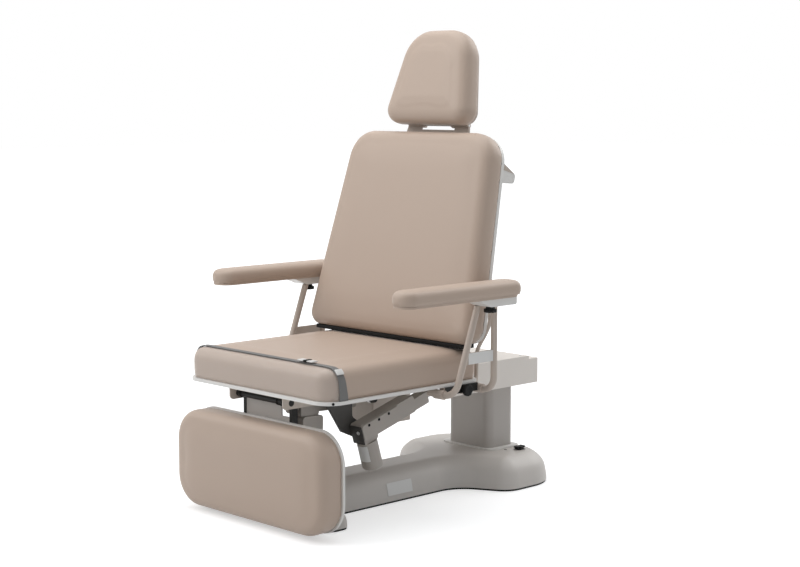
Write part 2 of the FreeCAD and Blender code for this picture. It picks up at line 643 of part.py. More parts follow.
def back_pad():
    """The lower edge of the pad stays level with the seat, so it reaches lower at the front."""
    depth, edge = size("back_pad"), size("pad_edge")
    drop = math.tan(math.radians(size("recline")))
    steps = pad_levels(back_outline(0), depth, edge, size("pad_crown"), 90)
    levels = []
    for level, corners in steps:
        lowered = [(x, y - drop * min(level, depth - edge), radius) if y < size("back_length") / 2 else
                   (x, y, radius) for x, y, radius in corners]
        levels.append((level, lowered))
    return upright(crowned(levels), -size("back_face") + depth)


back_cushion = feature("back_cushion", back_pad())
back_cushion.Placement = lean_back.multiply(back_cushion.Placement)
finish("back_cushion", back_cushion)

handle_low, handle_high = "handle_height - cheek_height / 2", "handle_height + cheek_height / 2"
grip_y = panel_rear + " + handle_reach"
cheek = [(panel_rear, handle_low), (grip_y, "handle_height - 22"), (grip_y, "handle_height + 6"),
         (panel_rear, handle_high)]
cheeks = [plate("handle_cheek_left", "YZ", [cheek], "handle_width / 2 - cheek_gauge", "cheek_gauge",
                [((1, 2), "12")]),
          plate("handle_cheek_right", "YZ", [cheek], "-handle_width / 2", "cheek_gauge", [((1, 2), "12")])]
grip = rod("handle_grip", "X", ("-handle_width / 2 + cheek_gauge / 2", grip_y + " - grip_radius - 3",
                                "handle_height - 8"),
           "grip_radius", "handle_width - cheek_gauge")
finish("push_handle", lean(fuse("push_handle", cheeks + [grip])))

# Head rest: channel on the panel, sliding fork, tilting board and pad
channel_half = "channel_width / 2"
slot_high = panel_rear + " + stem_bar_gauge + 2 * face_gap"
channel_top = panel_high + " - channel_top"
slot_half = channel_half + " - channel_wall"
channel_section = [("-" + channel_half, panel_rear), ("-(%s)" % slot_half, panel_rear),
                   ("-(%s)" % slot_half, slot_high),
                   (slot_half, slot_high), (slot_half, panel_rear), (channel_half, panel_rear),
                   (channel_half, panel_rear + " + channel_depth"),
                   ("-" + channel_half, panel_rear + " + channel_depth")]
finish("headrest_channel", lean(plate("headrest_channel", "XY", [channel_section],
                                      channel_top + " - channel_length",
                                      "channel_length")))

stem_half = slot_half + " - face_gap"
stem_rear = panel_rear + " + stem_bar_gauge + face_gap"
fork_half, fork_inside = "fork_width / 2", "fork_gap / 2"
pin_y = panel_rear + " + face_gap + stem_bar_gauge / 2"
bridge_low = "back_bottom + back_length + 4"
fork_profile = [("-(%s)" % stem_half, channel_top + " - channel_length + 4"),
                (stem_half, channel_top + " - channel_length + 4"),
                (stem_half, bridge_low), (fork_half, bridge_low),
                (fork_half + " - 8", "tilt_height + fork_depth / 2"),
                (fork_inside, "tilt_height + fork_depth / 2"), (fork_inside, bridge_low + " + 14"),
                ("-" + fork_inside, bridge_low + " + 14"),
                ("-" + fork_inside, "tilt_height + fork_depth / 2"),
                ("-(%s - 8)" % fork_half, "tilt_height + fork_depth / 2"), ("-" + fork_half, bridge_low),
                ("-(%s)" % stem_half, bridge_low)]
fork = plate("fork_blade", "XZ", [fork_profile], "-(%s)" % stem_rear, "stem_bar_gauge")
bosses = [rod("fork_boss_left", "X", (fork_inside, pin_y, "tilt_height"), "fork_depth / 2",
              "(fork_width - fork_gap) / 2 - 8"),
          rod("fork_boss_right", "X", ("-fork_width / 2 + 8", pin_y, "tilt_height"), "fork_depth / 2",
              "(fork_width - fork_gap) / 2 - 8")]
fork_bore = rod("fork_bore", "X", ("-fork_width", pin_y, "tilt_height"), "tilt_pin_radius + running_gap",
                "2 * fork_width")
finish("headrest_fork", lean(cut("headrest_fork", fuse("fork_joined", [fork] + bosses), fork_bore)))
finish("headrest_pin", lean(plate("headrest_pin", "YZ", [], "-fork_width / 2 + 6", "fork_width - 12",
                                  holes=[(pin_y, "tilt_height", "tilt_pin_radius")])))

board_front = "head_pad - head_face"
board_rear = board_front + " + head_board_gauge"
board_half, board_top_half = "head_pad_width / 2 - 8", "head_pad_top_width / 2 - 8"
board_low, board_high = "head_pad_bottom + 6", "head_pad_bottom + head_pad_length - 8"
board = plate("head_board", "XZ", [[("-(%s)" % board_half, board_low), (board_half, board_low),
                                    (board_top_half, board_high), ("-(%s)" % board_top_half, board_high)]],
              "-(%s)" % board_rear, "head_board_gauge",
              [((0, 1), "head_pad_low_corner - 8"), ((2, 3), "head_pad_corner - 8")])
lugs = []
for side, start in (("left", fork_inside + " - 14"), ("right", "-%s + 2" % fork_inside)):
    lug = [(board_rear, "tilt_height - fork_depth / 2 + 3"), (pin_y, "tilt_height - fork_depth / 2"),
           (pin_y + " + fork_depth / 2", "tilt_height - fork_depth / 2"),
           (pin_y + " + fork_depth / 2", "tilt_height + fork_depth / 2"), (board_rear, "tilt_height + 34")]
    lugs.append(plate("head_lug_" + side, "YZ", [lug], start, "12", [((2, 3), "6")],
                      [(pin_y, "tilt_height", "tilt_pin_radius + running_gap")]))
finish("headrest_board", lean(fuse("headrest_board", [board] + lugs)))


def head_pad():
    half, top_half = size("head_pad_width") / 2, size("head_pad_top_width") / 2
    low, high = size("head_pad_bottom"), size("head_pad_bottom") + size("head_pad_length")
    corner, top = size("head_pad_low_corner"), size("head_pad_corner")
    shape = [(-half, low, corner), (half, low, corner), (top_half, high, top), (-top_half, high, top)]
    steps = pad_levels(shape, size("head_pad"), size("pad_edge") - 4, size("pad_crown"), 40)
    return upright(crowned(steps), size("head_pad") - size("head_face"))


headrest_cushion = feature("headrest_cushion", head_pad())
headrest_cushion.Placement = lean_back.multiply(headrest_cushion.Placement)
finish("headrest_cushion", headrest_cushion)


# Linear actuators
def link_eye(centre, radius, angle, travel):
    """The lever pin and the middle of the rod eye, which leaves room for the arc of the pin."""
    def pin(turned):
        heading = math.radians(angle - turned)
        return centre + Vector(0, radius * math.cos(heading), radius * math.sin(heading))

    chord = (pin(0) + pin(travel)) * 0.5
    return pin(0), pin(0) + (pin(travel / 2) - chord) * 0.5


def along(origin, target):
    """Placement whose X runs from origin to target in the YZ plane and whose Z is the chair's +X."""
    ahead = (target - origin).normalize()
    side = Vector(1, 0, 0)
    return FreeCAD.Placement(origin, FreeCAD.Rotation(ahead, side.cross(ahead), side, "XYZ"))


def block(x0, x1, y0, y1, width, corner):
    """A rounded bar drawn across its width, centred on the drive plane."""
    corners = [(x0, y0, corner), (x1, y0, corner), (x1, y1, corner), (x0, y1, corner)]
    return Part.Face(rounded_wire(corners, -width / 2)).extrude(Vector(0, 0, width))


def cross_pin(x, y, radius, width):
    return Part.makeCylinder(radius, width, Vector(x, y, -width / 2))


def bore_along(radius, start, length):
    return Part.makeCylinder(radius, length, Vector(start, 0, 0), Vector(1, 0, 0))


def eye_end(length, neck_length, rod_radius, eye_radius, eye_bore, gauge, start):
    """A round rod with a flat eye at its end."""
    bar = bore_along(rod_radius, start, length - neck_length - start)
    root = 4
    neck = Part.makeBox(neck_length + root, 2 * rod_radius * 0.8, gauge,
                        Vector(length - neck_length - root, -rod_radius * 0.8, -gauge / 2))
    ring = cross_pin(length, 0, eye_radius, gauge)
    return bar.fuse([neck, ring]).cut(cross_pin(length, 0, eye_bore, 2 * gauge)).removeSplitter()


def drive_motor(start, top):
    """An upright motor under the gear box, rounded round its sides and softened at its foot."""
    end, half, corner = start + size("motor_depth"), size("motor_width") / 2, size("motor_corner")
    section = [(start, -half, corner), (end, -half, corner), (end, half, corner), (start, half, corner)]
    length = size("motor_length")
    can = Part.Face(rounded_wire(section, 0)).extrude(Vector(0, 0, length))
    rim = [edge for edge in can.Edges if all(abs(vertex.Z - length) < 1e-6 for vertex in edge.Vertexes)]
    return upright(can.makeFillet(size("motor_foot"), rim), top)


drive = Vector(size("actuator_x"), -size("actuator_setback"), size("actuator_height"))
pivot = Vector(size("actuator_x"), hinge.y, hinge.z)
lever_pin, eye = link_eye(pivot, size("lever_radius"), size("lever_angle"), size("back_travel"))
drive_place = along(drive, eye)
drive_length = (eye - drive).Length
gear_width, tube = size("gearbox_width"), size("tube_side")
gear_half, gear_high = size("gearbox_half"), size("gearbox_high")
gear_corner, gear_length = size("gearbox_corner"), size("gearbox_length")
gearbox = block(-gear_half, gear_half, -gear_half, gear_high, gear_width, gear_corner)
gear_case = block(-gear_half, gear_length, -tube / 2, gear_high, gear_width, gear_corner)
outer_tube = block(size("tube_start"), size("tube_end"), -tube / 2, tube / 2, tube, size("tube_corner"))
housing = gearbox.fuse([gear_case, outer_tube])
bore_start = size("tube_start") + 6
housing = housing.cut(bore_along(size("rod_radius") + size("running_gap"), bore_start, size("tube_end")))
housing = housing.cut(cross_pin(0, 0, size("actuator_pin_radius") + size("running_gap"), 100))
motor = drive_motor(-size("motor_start"), -gear_half)
cover_face = gear_width / 2
cover_end, cover_low = size("tube_start") + 60, -tube / 2 + 2
cover_shape = [(-gear_half + 2, cover_low, 10), (cover_end, cover_low, 8), (cover_end, gear_high - 2, 8),
               (-gear_half + 2, gear_high - 2, 10)]
side_cover = Part.Face(rounded_wire(cover_shape, cover_face)).extrude(Vector(0, 0, size("cover_gauge")))
for step in range(3):
    side_cover = side_cover.cut(Part.makeCylinder(3, 3, Vector(1 + 42 * step, gear_high - 9, cover_face + 2)))
back_rod = eye_end(drive_length, size("rod_neck"), size("rod_radius"), size("eye_radius"), size("eye_bore"),
                   size("eye_gauge"), size("rod_start"))
for label, shape in (("back_actuator_housing", housing.removeSplitter()), ("back_actuator_motor", motor),
                     ("back_actuator_cover", side_cover), ("back_actuator_rod", back_rod)):
    item = feature(label, shape)
    item.Placement = drive_place.multiply(shape.Placement)
    finish(label, item)

bracket_y = "-actuator_setback"
bracket_shape = [(bracket_y + " - 172", plate_low + " - frame_gauge"),
                 (bracket_y + " - 172", flange_low + " + 2"),
                 (bracket_y + " - 118", flange_low + " - 12"), (bracket_y + " - 66", "actuator_height + 4"),
                 (bracket_y + " - 12", "actuator_height - 20"),
                 (bracket_y + " + 20", "actuator_height - 8"),
                 (bracket_y + " + 16", "actuator_height + 18"),
                 (bracket_y + " - 24", "actuator_height + 44"),
                 (bracket_y + " - 24", plate_low + " - frame_gauge")]
bracket_plate = plate("bracket_plate", "YZ", [bracket_shape], half_frame, "9",
                      [((1, 2, 3, 4, 5, 6), "8"), ((7,), "16")])
bracket_pin = rod("bracket_pin", "X", (half_frame, bracket_y, "actuator_height"), "actuator_pin_radius",
                  "actuator_x + gearbox_width / 2 - frame_width / 2")
finish("actuator_bracket", fuse("actuator_bracket", [bracket_plate, bracket_pin]))


def lever(centre, pin, hub_radius, boss_radius, gap, gauge, pin_radius):
    """Two cheeks for a shaft, joined by the pin that the rod eye hangs on."""
    cheeks = []
    for start in (-gap / 2 - gauge, gap / 2):
        across = Vector(1, 0, 0)
        hub_disc = Part.makeCylinder(hub_radius, gauge, centre + across * start, across)
        boss = Part.makeCylinder(boss_radius, gauge, pin + across * start, across)
        ahead = (pin - centre).normalize()
        up = across.cross(ahead)
        corners = [centre + up * hub_radius * 0.9, centre - up * hub_radius * 0.9,
                   pin - up * boss_radius * 0.9, pin + up * boss_radius * 0.9]
        web = Part.Face(Part.makePolygon(corners + corners[:1])).extrude(across * gauge)
        web.translate(across * start)
        cheeks.append(hub_disc.fuse([boss, web]))
    length = gap + 2 * gauge
    bolt = Part.makeCylinder(pin_radius, length, pin - Vector(length / 2, 0, 0), Vector(1, 0, 0))
    return cheeks[0].fuse([cheeks[1], bolt])


back_lever = lever(pivot, lever_pin, size("back_shaft_radius") + 4, 13, size("lever_gap"),
                   size("lever_gauge"),
                   size("link_pin_radius"))
back_bar = rod("back_bar", "X", ("-back_shaft_length / 2", "-hinge_setback", hinge_height),
               "back_shaft_radius",
               "back_shaft_length")
finish("back_shaft", fuse("back_shaft", [back_bar, feature("back_lever", back_lever)]))

# Leg rest: shaft, rails, panel, board and pad
leg_hinge_y = "-leg_hinge_setback"
leg_bar = rod("leg_bar", "X", ("-frame_width / 2", leg_hinge_y, hinge_height), "leg_shaft_radius",
              "frame_width")
rail_front = leg_hinge_y + " + leg_shaft_radius + 2"
rail_rear = rail_front + " + leg_rail_depth"
leg_hub = "leg_shaft_radius + 3"
rail_shape = [(leg_hinge_y + " - (%s)" % leg_hub, "%s - (%s)" % (hinge_height, leg_hub)),
              (rail_front, "%s - (%s)" % (hinge_height, leg_hub)), (rail_front, "leg_rail_foot"),
              (rail_rear, "leg_rail_foot"), (rail_rear, "%s + (%s)" % (hinge_height, leg_hub)),
              (leg_hinge_y + " - (%s)" % leg_hub, "%s + (%s)" % (hinge_height, leg_hub))]
rails = []
for side, start in (("left", "leg_rail_spacing / 2 - leg_rail_width / 2"),
                    ("right", "-leg_rail_spacing / 2 - leg_rail_width / 2")):
    rail = plate("leg_rail_" + side, "YZ", [rail_shape], start, "leg_rail_width",
                 [((0, 5), leg_hub + " - 0.1"), ((2, 3), "4"), ((4,), "8")],
                 [(leg_hinge_y, hinge_height, "leg_shaft_radius + running_gap")])
    finish("leg_rail_" + side, rail)
inside_rails = "leg_rail_spacing / 2 - leg_rail_width / 2"
leg_panel = [("-(%s)" % inside_rails, "leg_rail_foot"), (inside_rails, "leg_rail_foot"),
             (inside_rails, "leg_panel_top"), ("leg_panel_notch", "leg_panel_top"),
             ("leg_panel_notch", "leg_panel_high"), ("-(%s)" % inside_rails, "leg_panel_high")]
finish("leg_panel", plate("leg_panel", "XZ", [leg_panel], "-(%s) - 2 - leg_panel_gauge" % rail_front,
                          "leg_panel_gauge"))
board_half_x = "leg_pad_width / 2 + 1"
finish("leg_board", plate("leg_board", "XZ", [rectangle("-(%s)" % board_half_x, board_half_x,
                                                        "leg_pad_bottom - 1",
                                                        "leg_pad_top + 1")], "-(%s)" % rail_front,
                          "leg_board_gauge", [((0, 1, 2, 3), "leg_pad_corner + 1")]))


def leg_pad():
    half, low, high = size("leg_pad_width") / 2, size("leg_pad_bottom"), size("leg_pad_top")
    corner = size("leg_pad_corner")
    shape = [(-half, low, corner), (half, low, corner), (half, high, corner), (-half, high, corner)]
    steps = pad_levels(shape, size("leg_pad"), size("leg_pad_edge"), size("pad_crown"), 60)
    rear = -size("leg_hinge_setback") + size("leg_shaft_radius") + 2 - size("leg_board_gauge")
    return upright(crowned(steps), rear)


finish("leg_cushion", feature("leg_cushion", leg_pad()))

leg_pivot = Vector(size("leg_drive_x"), -size("leg_hinge_setback"), hinge.z)
leg_mount = Vector(size("leg_drive_x"), -size("leg_drive_setback"), size("leg_drive_height"))
leg_pin, leg_eye = link_eye(leg_pivot, size("leg_lever_radius"), size("leg_lever_angle"),
                            size("leg_travel"))
leg_lever = lever(leg_pivot, leg_pin, size("leg_shaft_radius") + 3, 10, 20, 4, size("link_pin_radius"))
finish("leg_shaft", fuse("leg_shaft", [leg_bar, feature("leg_lever", leg_lever)]))
leg_place = along(leg_mount, leg_eye)
leg_length = (leg_eye - leg_mount).Length
leg_tube = size("leg_tube_side")
gear_end = leg_length - size("leg_eye_radius") - 6
gear_start = gear_end - size("leg_gearbox_length")
leg_low, leg_high, leg_width = -size("leg_gear_low"), size("leg_gear_high"), size("leg_drive_width")
leg_gear = block(gear_start, gear_end, leg_low, leg_high, leg_width, 8)
leg_outer = block(gear_start - size("leg_tube_length"), gear_start + 8, -leg_tube / 2, leg_tube / 2,
                  leg_tube, 5)
leg_neck = Part.makeBox(30, 16, 16, Vector(gear_end - 8, -8, -8))
leg_ring = cross_pin(leg_length, 0, size("leg_eye_radius"), 16)
leg_housing = leg_outer.fuse([leg_gear, leg_neck, leg_ring]).cut(cross_pin(leg_length, 0,
                                                                           size("leg_eye_bore"), 40))
leg_bore = bore_along(size("leg_rod_radius") + size("running_gap"), 0, gear_start)
leg_housing = leg_housing.cut(leg_bore).removeSplitter()
motor_end = gear_end - 4
leg_motor = block(motor_end - size("leg_motor_depth"), motor_end, leg_high,
                  leg_high + size("leg_motor_length"),
                  size("leg_motor_width"), 10)
leg_rod_bar = bore_along(size("leg_rod_radius"), 10, gear_start - 20)
mount_hole = cross_pin(0, 0, size("leg_mount_pin") + size("running_gap"), 40)
leg_rod_eye = cross_pin(0, 0, 14, 14).fuse(leg_rod_bar).cut(mount_hole)
for label, shape in (("leg_actuator_housing", leg_housing), ("leg_actuator_motor", leg_motor),
                     ("leg_actuator_rod", leg_rod_eye.removeSplitter())):
    item = feature(label, shape)
    item.Placement = leg_place
    finish(label, item)

mount_y = "-leg_drive_setback"
mount_low, mount_top = "leg_drive_height - 2 * leg_mount_pin", plate_low + " - frame_gauge"
mount_shape = [(mount_y + " - leg_mount_half", mount_top), (mount_y + " - leg_mount_foot", mount_low),
               (mount_y + " + leg_mount_foot", mount_low), (mount_y + " + leg_mount_half", mount_top)]
mount_in, mount_out = "leg_mount_gap / 2", "(leg_mount_gap / 2 + leg_mount_gauge)"
mount_ears = []
for side, start in (("left", "leg_drive_x + " + mount_in), ("right", "leg_drive_x - " + mount_out)):
    mount_ears.append(plate("leg_mount_" + side, "YZ", [mount_shape], start, "leg_mount_gauge",
                            [((1, 2), "10")]))
mount_pin = rod("leg_mount_pin", "X", ("leg_drive_x - " + mount_out, mount_y, "leg_drive_height"),
                "leg_mount_pin",
                "2 * " + mount_out)
finish("leg_actuator_bracket", fuse("leg_actuator_bracket", mount_ears + [mount_pin]))

control = plate("control_box", "XY", [rectangle("-" + half_frame, "control_side",
                                                "-control_rear - control_length",
                                                "-control_rear")], flange_low + " - control_drop",
                                                "control_drop",
                [((0, 1, 2, 3), "6")])
finish("control_box", control)


# Arm rests, one on each side
def bent_tube(points, bend, radius):
    """A round tube along straight runs with one bend."""
    start, corner, end = points
    back, on = (start - corner).normalize(), (end - corner).normalize()
    half = math.acos(back.dot(on)) / 2
    reach = bend / math.tan(half)
    middle = corner + (back + on).normalize() * (bend / math.sin(half) - bend)
    first, last = corner + back * reach, corner + on * reach
    path = Part.Wire([Part.LineSegment(start, first).toShape(), Part.Arc(first, middle, last).toShape(),
                      Part.LineSegment(last, end).toShape()])
    section = Part.Wire(Part.Circle(start, back, radius).toShape())
    return path.makePipeShell([section], True, False)


def arm_frame(side):
    x, radius, bend = side * size("arm_leg_x"), size("arm_tube_radius"), size("arm_bend")
    low, top = size("seat_height") - size("prong_drop"), size("arm_height")
    foot, head_y, rear = -size("arm_front_foot"), -size("arm_front_top"), -size("arm_rear_leg")
    rise = (top - low + 30) / (top - low)
    over = Vector(x, foot + (head_y - foot) * rise, low + (top - low) * rise)
    front_leg = bent_tube([Vector(side * size("front_prong_end"), foot, low), Vector(x, foot, low), over],
                          bend, radius)
    rear_leg = bent_tube([Vector(side * size("rear_prong_end"), rear, low), Vector(x, rear, low),
                          Vector(x, rear, top + 30)], bend, radius)
    slope = (head_y - foot) / (top - low)
    corners = [Vector(x, foot + slope * (z - low) if front else rear, z)
               for front, z in ((True, size("gusset_low")), (False, size("gusset_low")),
                                (False, size("gusset_high")), (True, size("gusset_high")))]
    gauge = size("gusset_gauge")
    gusset = Part.Face(Part.makePolygon(corners + corners[:1])).extrude(Vector(gauge, 0, 0))
    gusset.translate(Vector(-gauge / 2, 0, 0))
    above = Part.makeBox(400, 800, 100, Vector(x - 200, -900, top))
    return front_leg.fuse([rear_leg, gusset]).cut(above).removeSplitter()


def mirrored(formula, side):
    return formula if side > 0 else "-(%s)" % formula


for name, side in (("left", 1), ("right", -1)):
    finish("arm_frame_" + name, feature("arm_frame_" + name, arm_frame(side)))
    prong = hinge_height + " - prong_drop + hinge_drop"
    sleeve_x = "sleeve_start" if side > 0 else "-sleeve_end"
    sleeve_radius = "arm_tube_radius + sleeve_wall"
    sleeves, bores = [], []
    for place, y in (("front", "-arm_front_foot"), ("rear", "-arm_rear_leg")):
        sleeves.append(rod("sleeve_%s_%s" % (place, name), "X", (sleeve_x, y, prong), sleeve_radius,
                           "sleeve_end - sleeve_start"))
        bores.append(rod("sleeve_bore_%s_%s" % (place, name), "X", ("%s - 5" % sleeve_x, y, prong),
                         "arm_tube_radius + 2 * running_gap", "sleeve_end - sleeve_start + 10"))
    rail_x = "sleeve_end - clamp_inset - clamp_rail_width" if side > 0 else "-(sleeve_end - clamp_inset)"
    sleeves.append(box("clamp_rail_" + name, rail_x, rail_x + " + clamp_rail_width",
                       "-arm_front_foot + arm_tube_radius + 2", "-arm_rear_leg - arm_tube_radius - 2",
                       plate_low + " - clamp_rail_height", plate_low))
    knob_z = plate_low + " - clamp_drop"
    bores.append(rod("clamp_hole_" + name, "X", ("-1000", "-clamp_knob_y", knob_z),
                     "clamp_stud_radius + running_gap", "2000"))
    finish("arm_receiver_" + name, cut("arm_receiver_" + name, fuse("receiver_joined_" + name, sleeves),
                                       fuse("receiver_bores_" + name, bores)))
    knob_out = "sleeve_end - clamp_inset + face_gap"
    disc_x = knob_out if side > 0 else "-(%s) - clamp_knob_length" % knob_out
    stud_x = rail_x if side > 0 else rail_x + " - part_gap"
    knob_disc = rod("clamp_disc_" + name, "X", (disc_x, "-clamp_knob_y", knob_z), "clamp_knob_radius",
                    "clamp_knob_length")
    knob_stud = rod("clamp_stud_" + name, "X", (stud_x, "-clamp_knob_y", knob_z), "clamp_stud_radius",
                    "clamp_rail_width + part_gap")
    finish("clamp_knob_" + name, fuse("clamp_knob_" + name, [knob_disc, knob_stud]))

    centre = mirrored("arm_pad_x", side)
    plate_high = "arm_height + arm_plate_depth"
    wedge = [("-arm_plate_front", plate_high), ("-arm_plate_front", plate_high + " - 4"),
             ("-arm_plate_front + arm_plate_taper", "arm_height"),
             ("-arm_pad_rear - arm_plate_inset", "arm_height"),
             ("-arm_pad_rear - arm_plate_inset", plate_high)]
    arm_plate = plate("arm_plate_body_" + name, "YZ", [wedge], centre + " - arm_plate_width / 2",
                      "arm_plate_width",
                      [((2,), "30"), ((3,), "6")])
    swivel_hole = rod("swivel_hole_" + name, "Z", (centre, "-swivel_y", "arm_height - 5"),
                      "swivel_radius + running_gap",
                      "arm_plate_depth + 10")
    finish("arm_plate_" + name, cut("arm_plate_" + name, arm_plate, swivel_hole))
    board_low_z = plate_high + " + face_gap"
    half_board = "(arm_pad_width / 2 - 5)"
    arm_board = plate("arm_board_body_" + name, "XY",
                      [rectangle("%s - %s" % (centre, half_board), "%s + %s" % (centre, half_board),
                                 "-arm_pad_front + 6", "-arm_pad_rear - 5")], board_low_z,
                                 "arm_board_gauge",
                      [((0, 1, 2, 3), "arm_pad_corner - 8")])
    stud = rod("swivel_stud_" + name, "Z", (centre, "-swivel_y", "arm_height - pad_knob_height + 2"),
               "swivel_radius",
               "arm_plate_depth + pad_knob_height + face_gap")
    finish("arm_board_" + name, fuse("arm_board_" + name, [arm_board, stud]))
    collar = rod("pad_knob_collar_" + name, "Z",
                 (centre, "-swivel_y", "arm_height - pad_knob_collar - face_gap"),
                 "pad_knob_neck", "pad_knob_collar")
    flange = rod("pad_knob_flange_" + name, "Z",
                 (centre, "-swivel_y", "arm_height - pad_knob_height - face_gap"),
                 "pad_knob_radius", "pad_knob_height - pad_knob_collar")
    knob_bore = rod("pad_knob_bore_" + name, "Z", (centre, "-swivel_y", "arm_height - pad_knob_height - 5"),
                    "swivel_radius + running_gap", "pad_knob_height + 10")
    finish("pad_knob_" + name, cut("pad_knob_" + name, fuse("pad_knob_joined_" + name, [collar, flange]),
                                   knob_bore))

    middle, half_pad = side * size("arm_pad_x"), size("arm_pad_width") / 2
    front, rear = -size("arm_pad_front"), -size("arm_pad_rear")
    corner = size("arm_pad_corner")
    pad_shape = [(middle - half_pad, front, corner), (middle + half_pad, front, corner),
                 (middle + half_pad, rear, corner * 0.6), (middle - half_pad, rear, corner * 0.6)]
    base_z = size("arm_height") + size("arm_plate_depth") + size("face_gap") + size("arm_board_gauge")
    arm_levels = pad_levels(pad_shape, size("arm_pad"), size("arm_pad_edge"), size("arm_pad_crown"), 6)
    finish("arm_cushion_" + name, feature("arm_cushion_" + name,
                                          crowned([(base_z + level, shape) for level,
                                                   shape in arm_levels])))

doc.recompute()

# Every object is sound before anything is written
for item in doc.Objects:
    if "Invalid" in item.State or "Error" in item.State:
        raise RuntimeError("%s failed: %s" % (item.Name, item.State))
for label, item in finished.items():
    if item.Shape.isNull() or not item.Shape.isValid() or not item.Shape.Solids:
        raise RuntimeError(label + " has no sound solid")

os.makedirs("parts", exist_ok=True)
for label, item in finished.items():
    item.Shape.exportStep("parts/%s.step" % label)
print("%d pieces written" % len(finished))
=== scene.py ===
import bpy
import math
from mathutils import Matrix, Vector
from mathutils.bvhtree import BVHTree


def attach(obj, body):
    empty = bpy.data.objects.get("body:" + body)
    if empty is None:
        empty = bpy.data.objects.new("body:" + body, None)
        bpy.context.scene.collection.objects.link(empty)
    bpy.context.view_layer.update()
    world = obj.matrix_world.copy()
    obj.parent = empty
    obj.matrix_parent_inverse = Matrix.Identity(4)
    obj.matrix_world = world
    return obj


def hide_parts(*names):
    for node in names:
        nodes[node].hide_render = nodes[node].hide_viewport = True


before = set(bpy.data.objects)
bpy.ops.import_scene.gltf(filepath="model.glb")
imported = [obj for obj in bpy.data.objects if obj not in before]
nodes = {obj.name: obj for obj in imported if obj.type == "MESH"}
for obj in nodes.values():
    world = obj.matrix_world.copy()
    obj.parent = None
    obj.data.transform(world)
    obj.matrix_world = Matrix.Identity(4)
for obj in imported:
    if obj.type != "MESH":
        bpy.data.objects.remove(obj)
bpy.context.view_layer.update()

print("frame loaded:", len(nodes), "nodes")


# Camera, at the viewpoint of the photograph
cameraSettings = {"place": (3.745, -3.991, 1.259), "azimuth": 46.0, "pitch": 6.5, "lens": 74.8,
                  "sensor": 36.0, "farthest": 100}

turn = math.radians(cameraSettings["azimuth"])
dip = math.radians(cameraSettings["pitch"])
lookAlong = Vector((-math.sin(turn) * math.cos(dip), math.cos(turn) * math.cos(dip), -math.sin(dip)))
bpy.ops.object.select_all(action="DESELECT")
bpy.ops.object.camera_add(location=cameraSettings["place"])
camera = bpy.context.object
camera.name = "photoCamera"
camera.rotation_euler = lookAlong.to_track_quat("-Z", "Y").to_euler()
camera.data.lens = cameraSettings["lens"]
camera.data.sensor_width = cameraSettings["sensor"]
camera.data.clip_end = cameraSettings["farthest"]
bpy.context.scene.camera = camera
bpy.context.scene.view_settings.view_transform = "Standard"


# Shader helpers
def newGroup(name, inputs, outputs):
    group = bpy.data.node_groups.new(name, "ShaderNodeTree")
    for label, kind, value in inputs:
        socket = group.interface.new_socket(name=label, in_out="INPUT", socket_type=kind)
        if value is not None:
            socket.default_value = value
    for label, kind in outputs:
        group.interface.new_socket(name=label, in_out="OUTPUT", socket_type=kind)
    entry = group.nodes.new("NodeGroupInput")
    leave = group.nodes.new("NodeGroupOutput")
    return group, entry, leave


def addNode(tree, kind, values=None, **settings):
    node = tree.nodes.new(kind)
    for key, value in settings.items():
        setattr(node, key, value)
    for socket, value in (values or {}).items():
        node.inputs[socket].default_value = value
    return node


def feed(tree, socket, source):
    if hasattr(source, "is_output"):
        tree.links.new(source, socket)
    else:
        socket.default_value = source


def mixColors(tree, factor, first, second):
    node = addNode(tree, "ShaderNodeMix", data_type="RGBA")
    for index, source in ((0, factor), (6, first), (7, second)):
        feed(tree, node.inputs[index], source)
    return node.outputs[2]


def doMath(tree, operation, first, second=0.0):
    node = addNode(tree, "ShaderNodeMath", operation=operation)
    for socket, source in zip(node.inputs, (first, second)):
        feed(tree, socket, source)
    return node.outputs[0]


# Slow drift of tone over a surface, with a second, finer mottle
driftSettings = {"finer": 23.0, "broadShare": 0.7, "fineShare": 0.3}


def makeToneDrift():
    group, entry, leave = newGroup(
        "toneDrift",
        [("Vector", "NodeSocketVector", None), ("Base", "NodeSocketColor", (0.5, 0.5, 0.5, 1)),
         ("Shade", "NodeSocketColor", (0.4, 0.4, 0.4, 1)), ("Scale", "NodeSocketFloat", 4.0),
         ("Amount", "NodeSocketFloat", 0.5)],
        [("Color", "NodeSocketColor"), ("Mask", "NodeSocketFloat")])
    broad = addNode(group, "ShaderNodeTexNoise", {"Detail": 3.0, "Roughness": 0.5})
    fine = addNode(group, "ShaderNodeTexNoise", {"Detail": 2.0, "Roughness": 0.6})
    group.links.new(entry.outputs["Vector"], broad.inputs["Vector"])
    group.links.new(entry.outputs["Vector"], fine.inputs["Vector"])
    group.links.new(entry.outputs["Scale"], broad.inputs["Scale"])
    finer = doMath(group, "MULTIPLY", entry.outputs["Scale"], driftSettings["finer"])
    group.links.new(finer, fine.inputs["Scale"])
    blend = doMath(group, "ADD", doMath(group, "MULTIPLY", broad.outputs[0], driftSettings["broadShare"]),
                   doMath(group, "MULTIPLY", fine.outputs[0], driftSettings["fineShare"]))
    mask = doMath(group, "MULTIPLY", blend, entry.outputs["Amount"])
    color = mixColors(group, mask, entry.outputs["Base"], entry.outputs["Shade"])
    group.links.new(color, leave.inputs["Color"])
    group.links.new(mask, leave.inputs["Mask"])
    return group


# Pebbled grain: cells for the skin, and soft unevenness under it
grainSettings = {"smoothness": 0.6, "swellScale": 0.22}


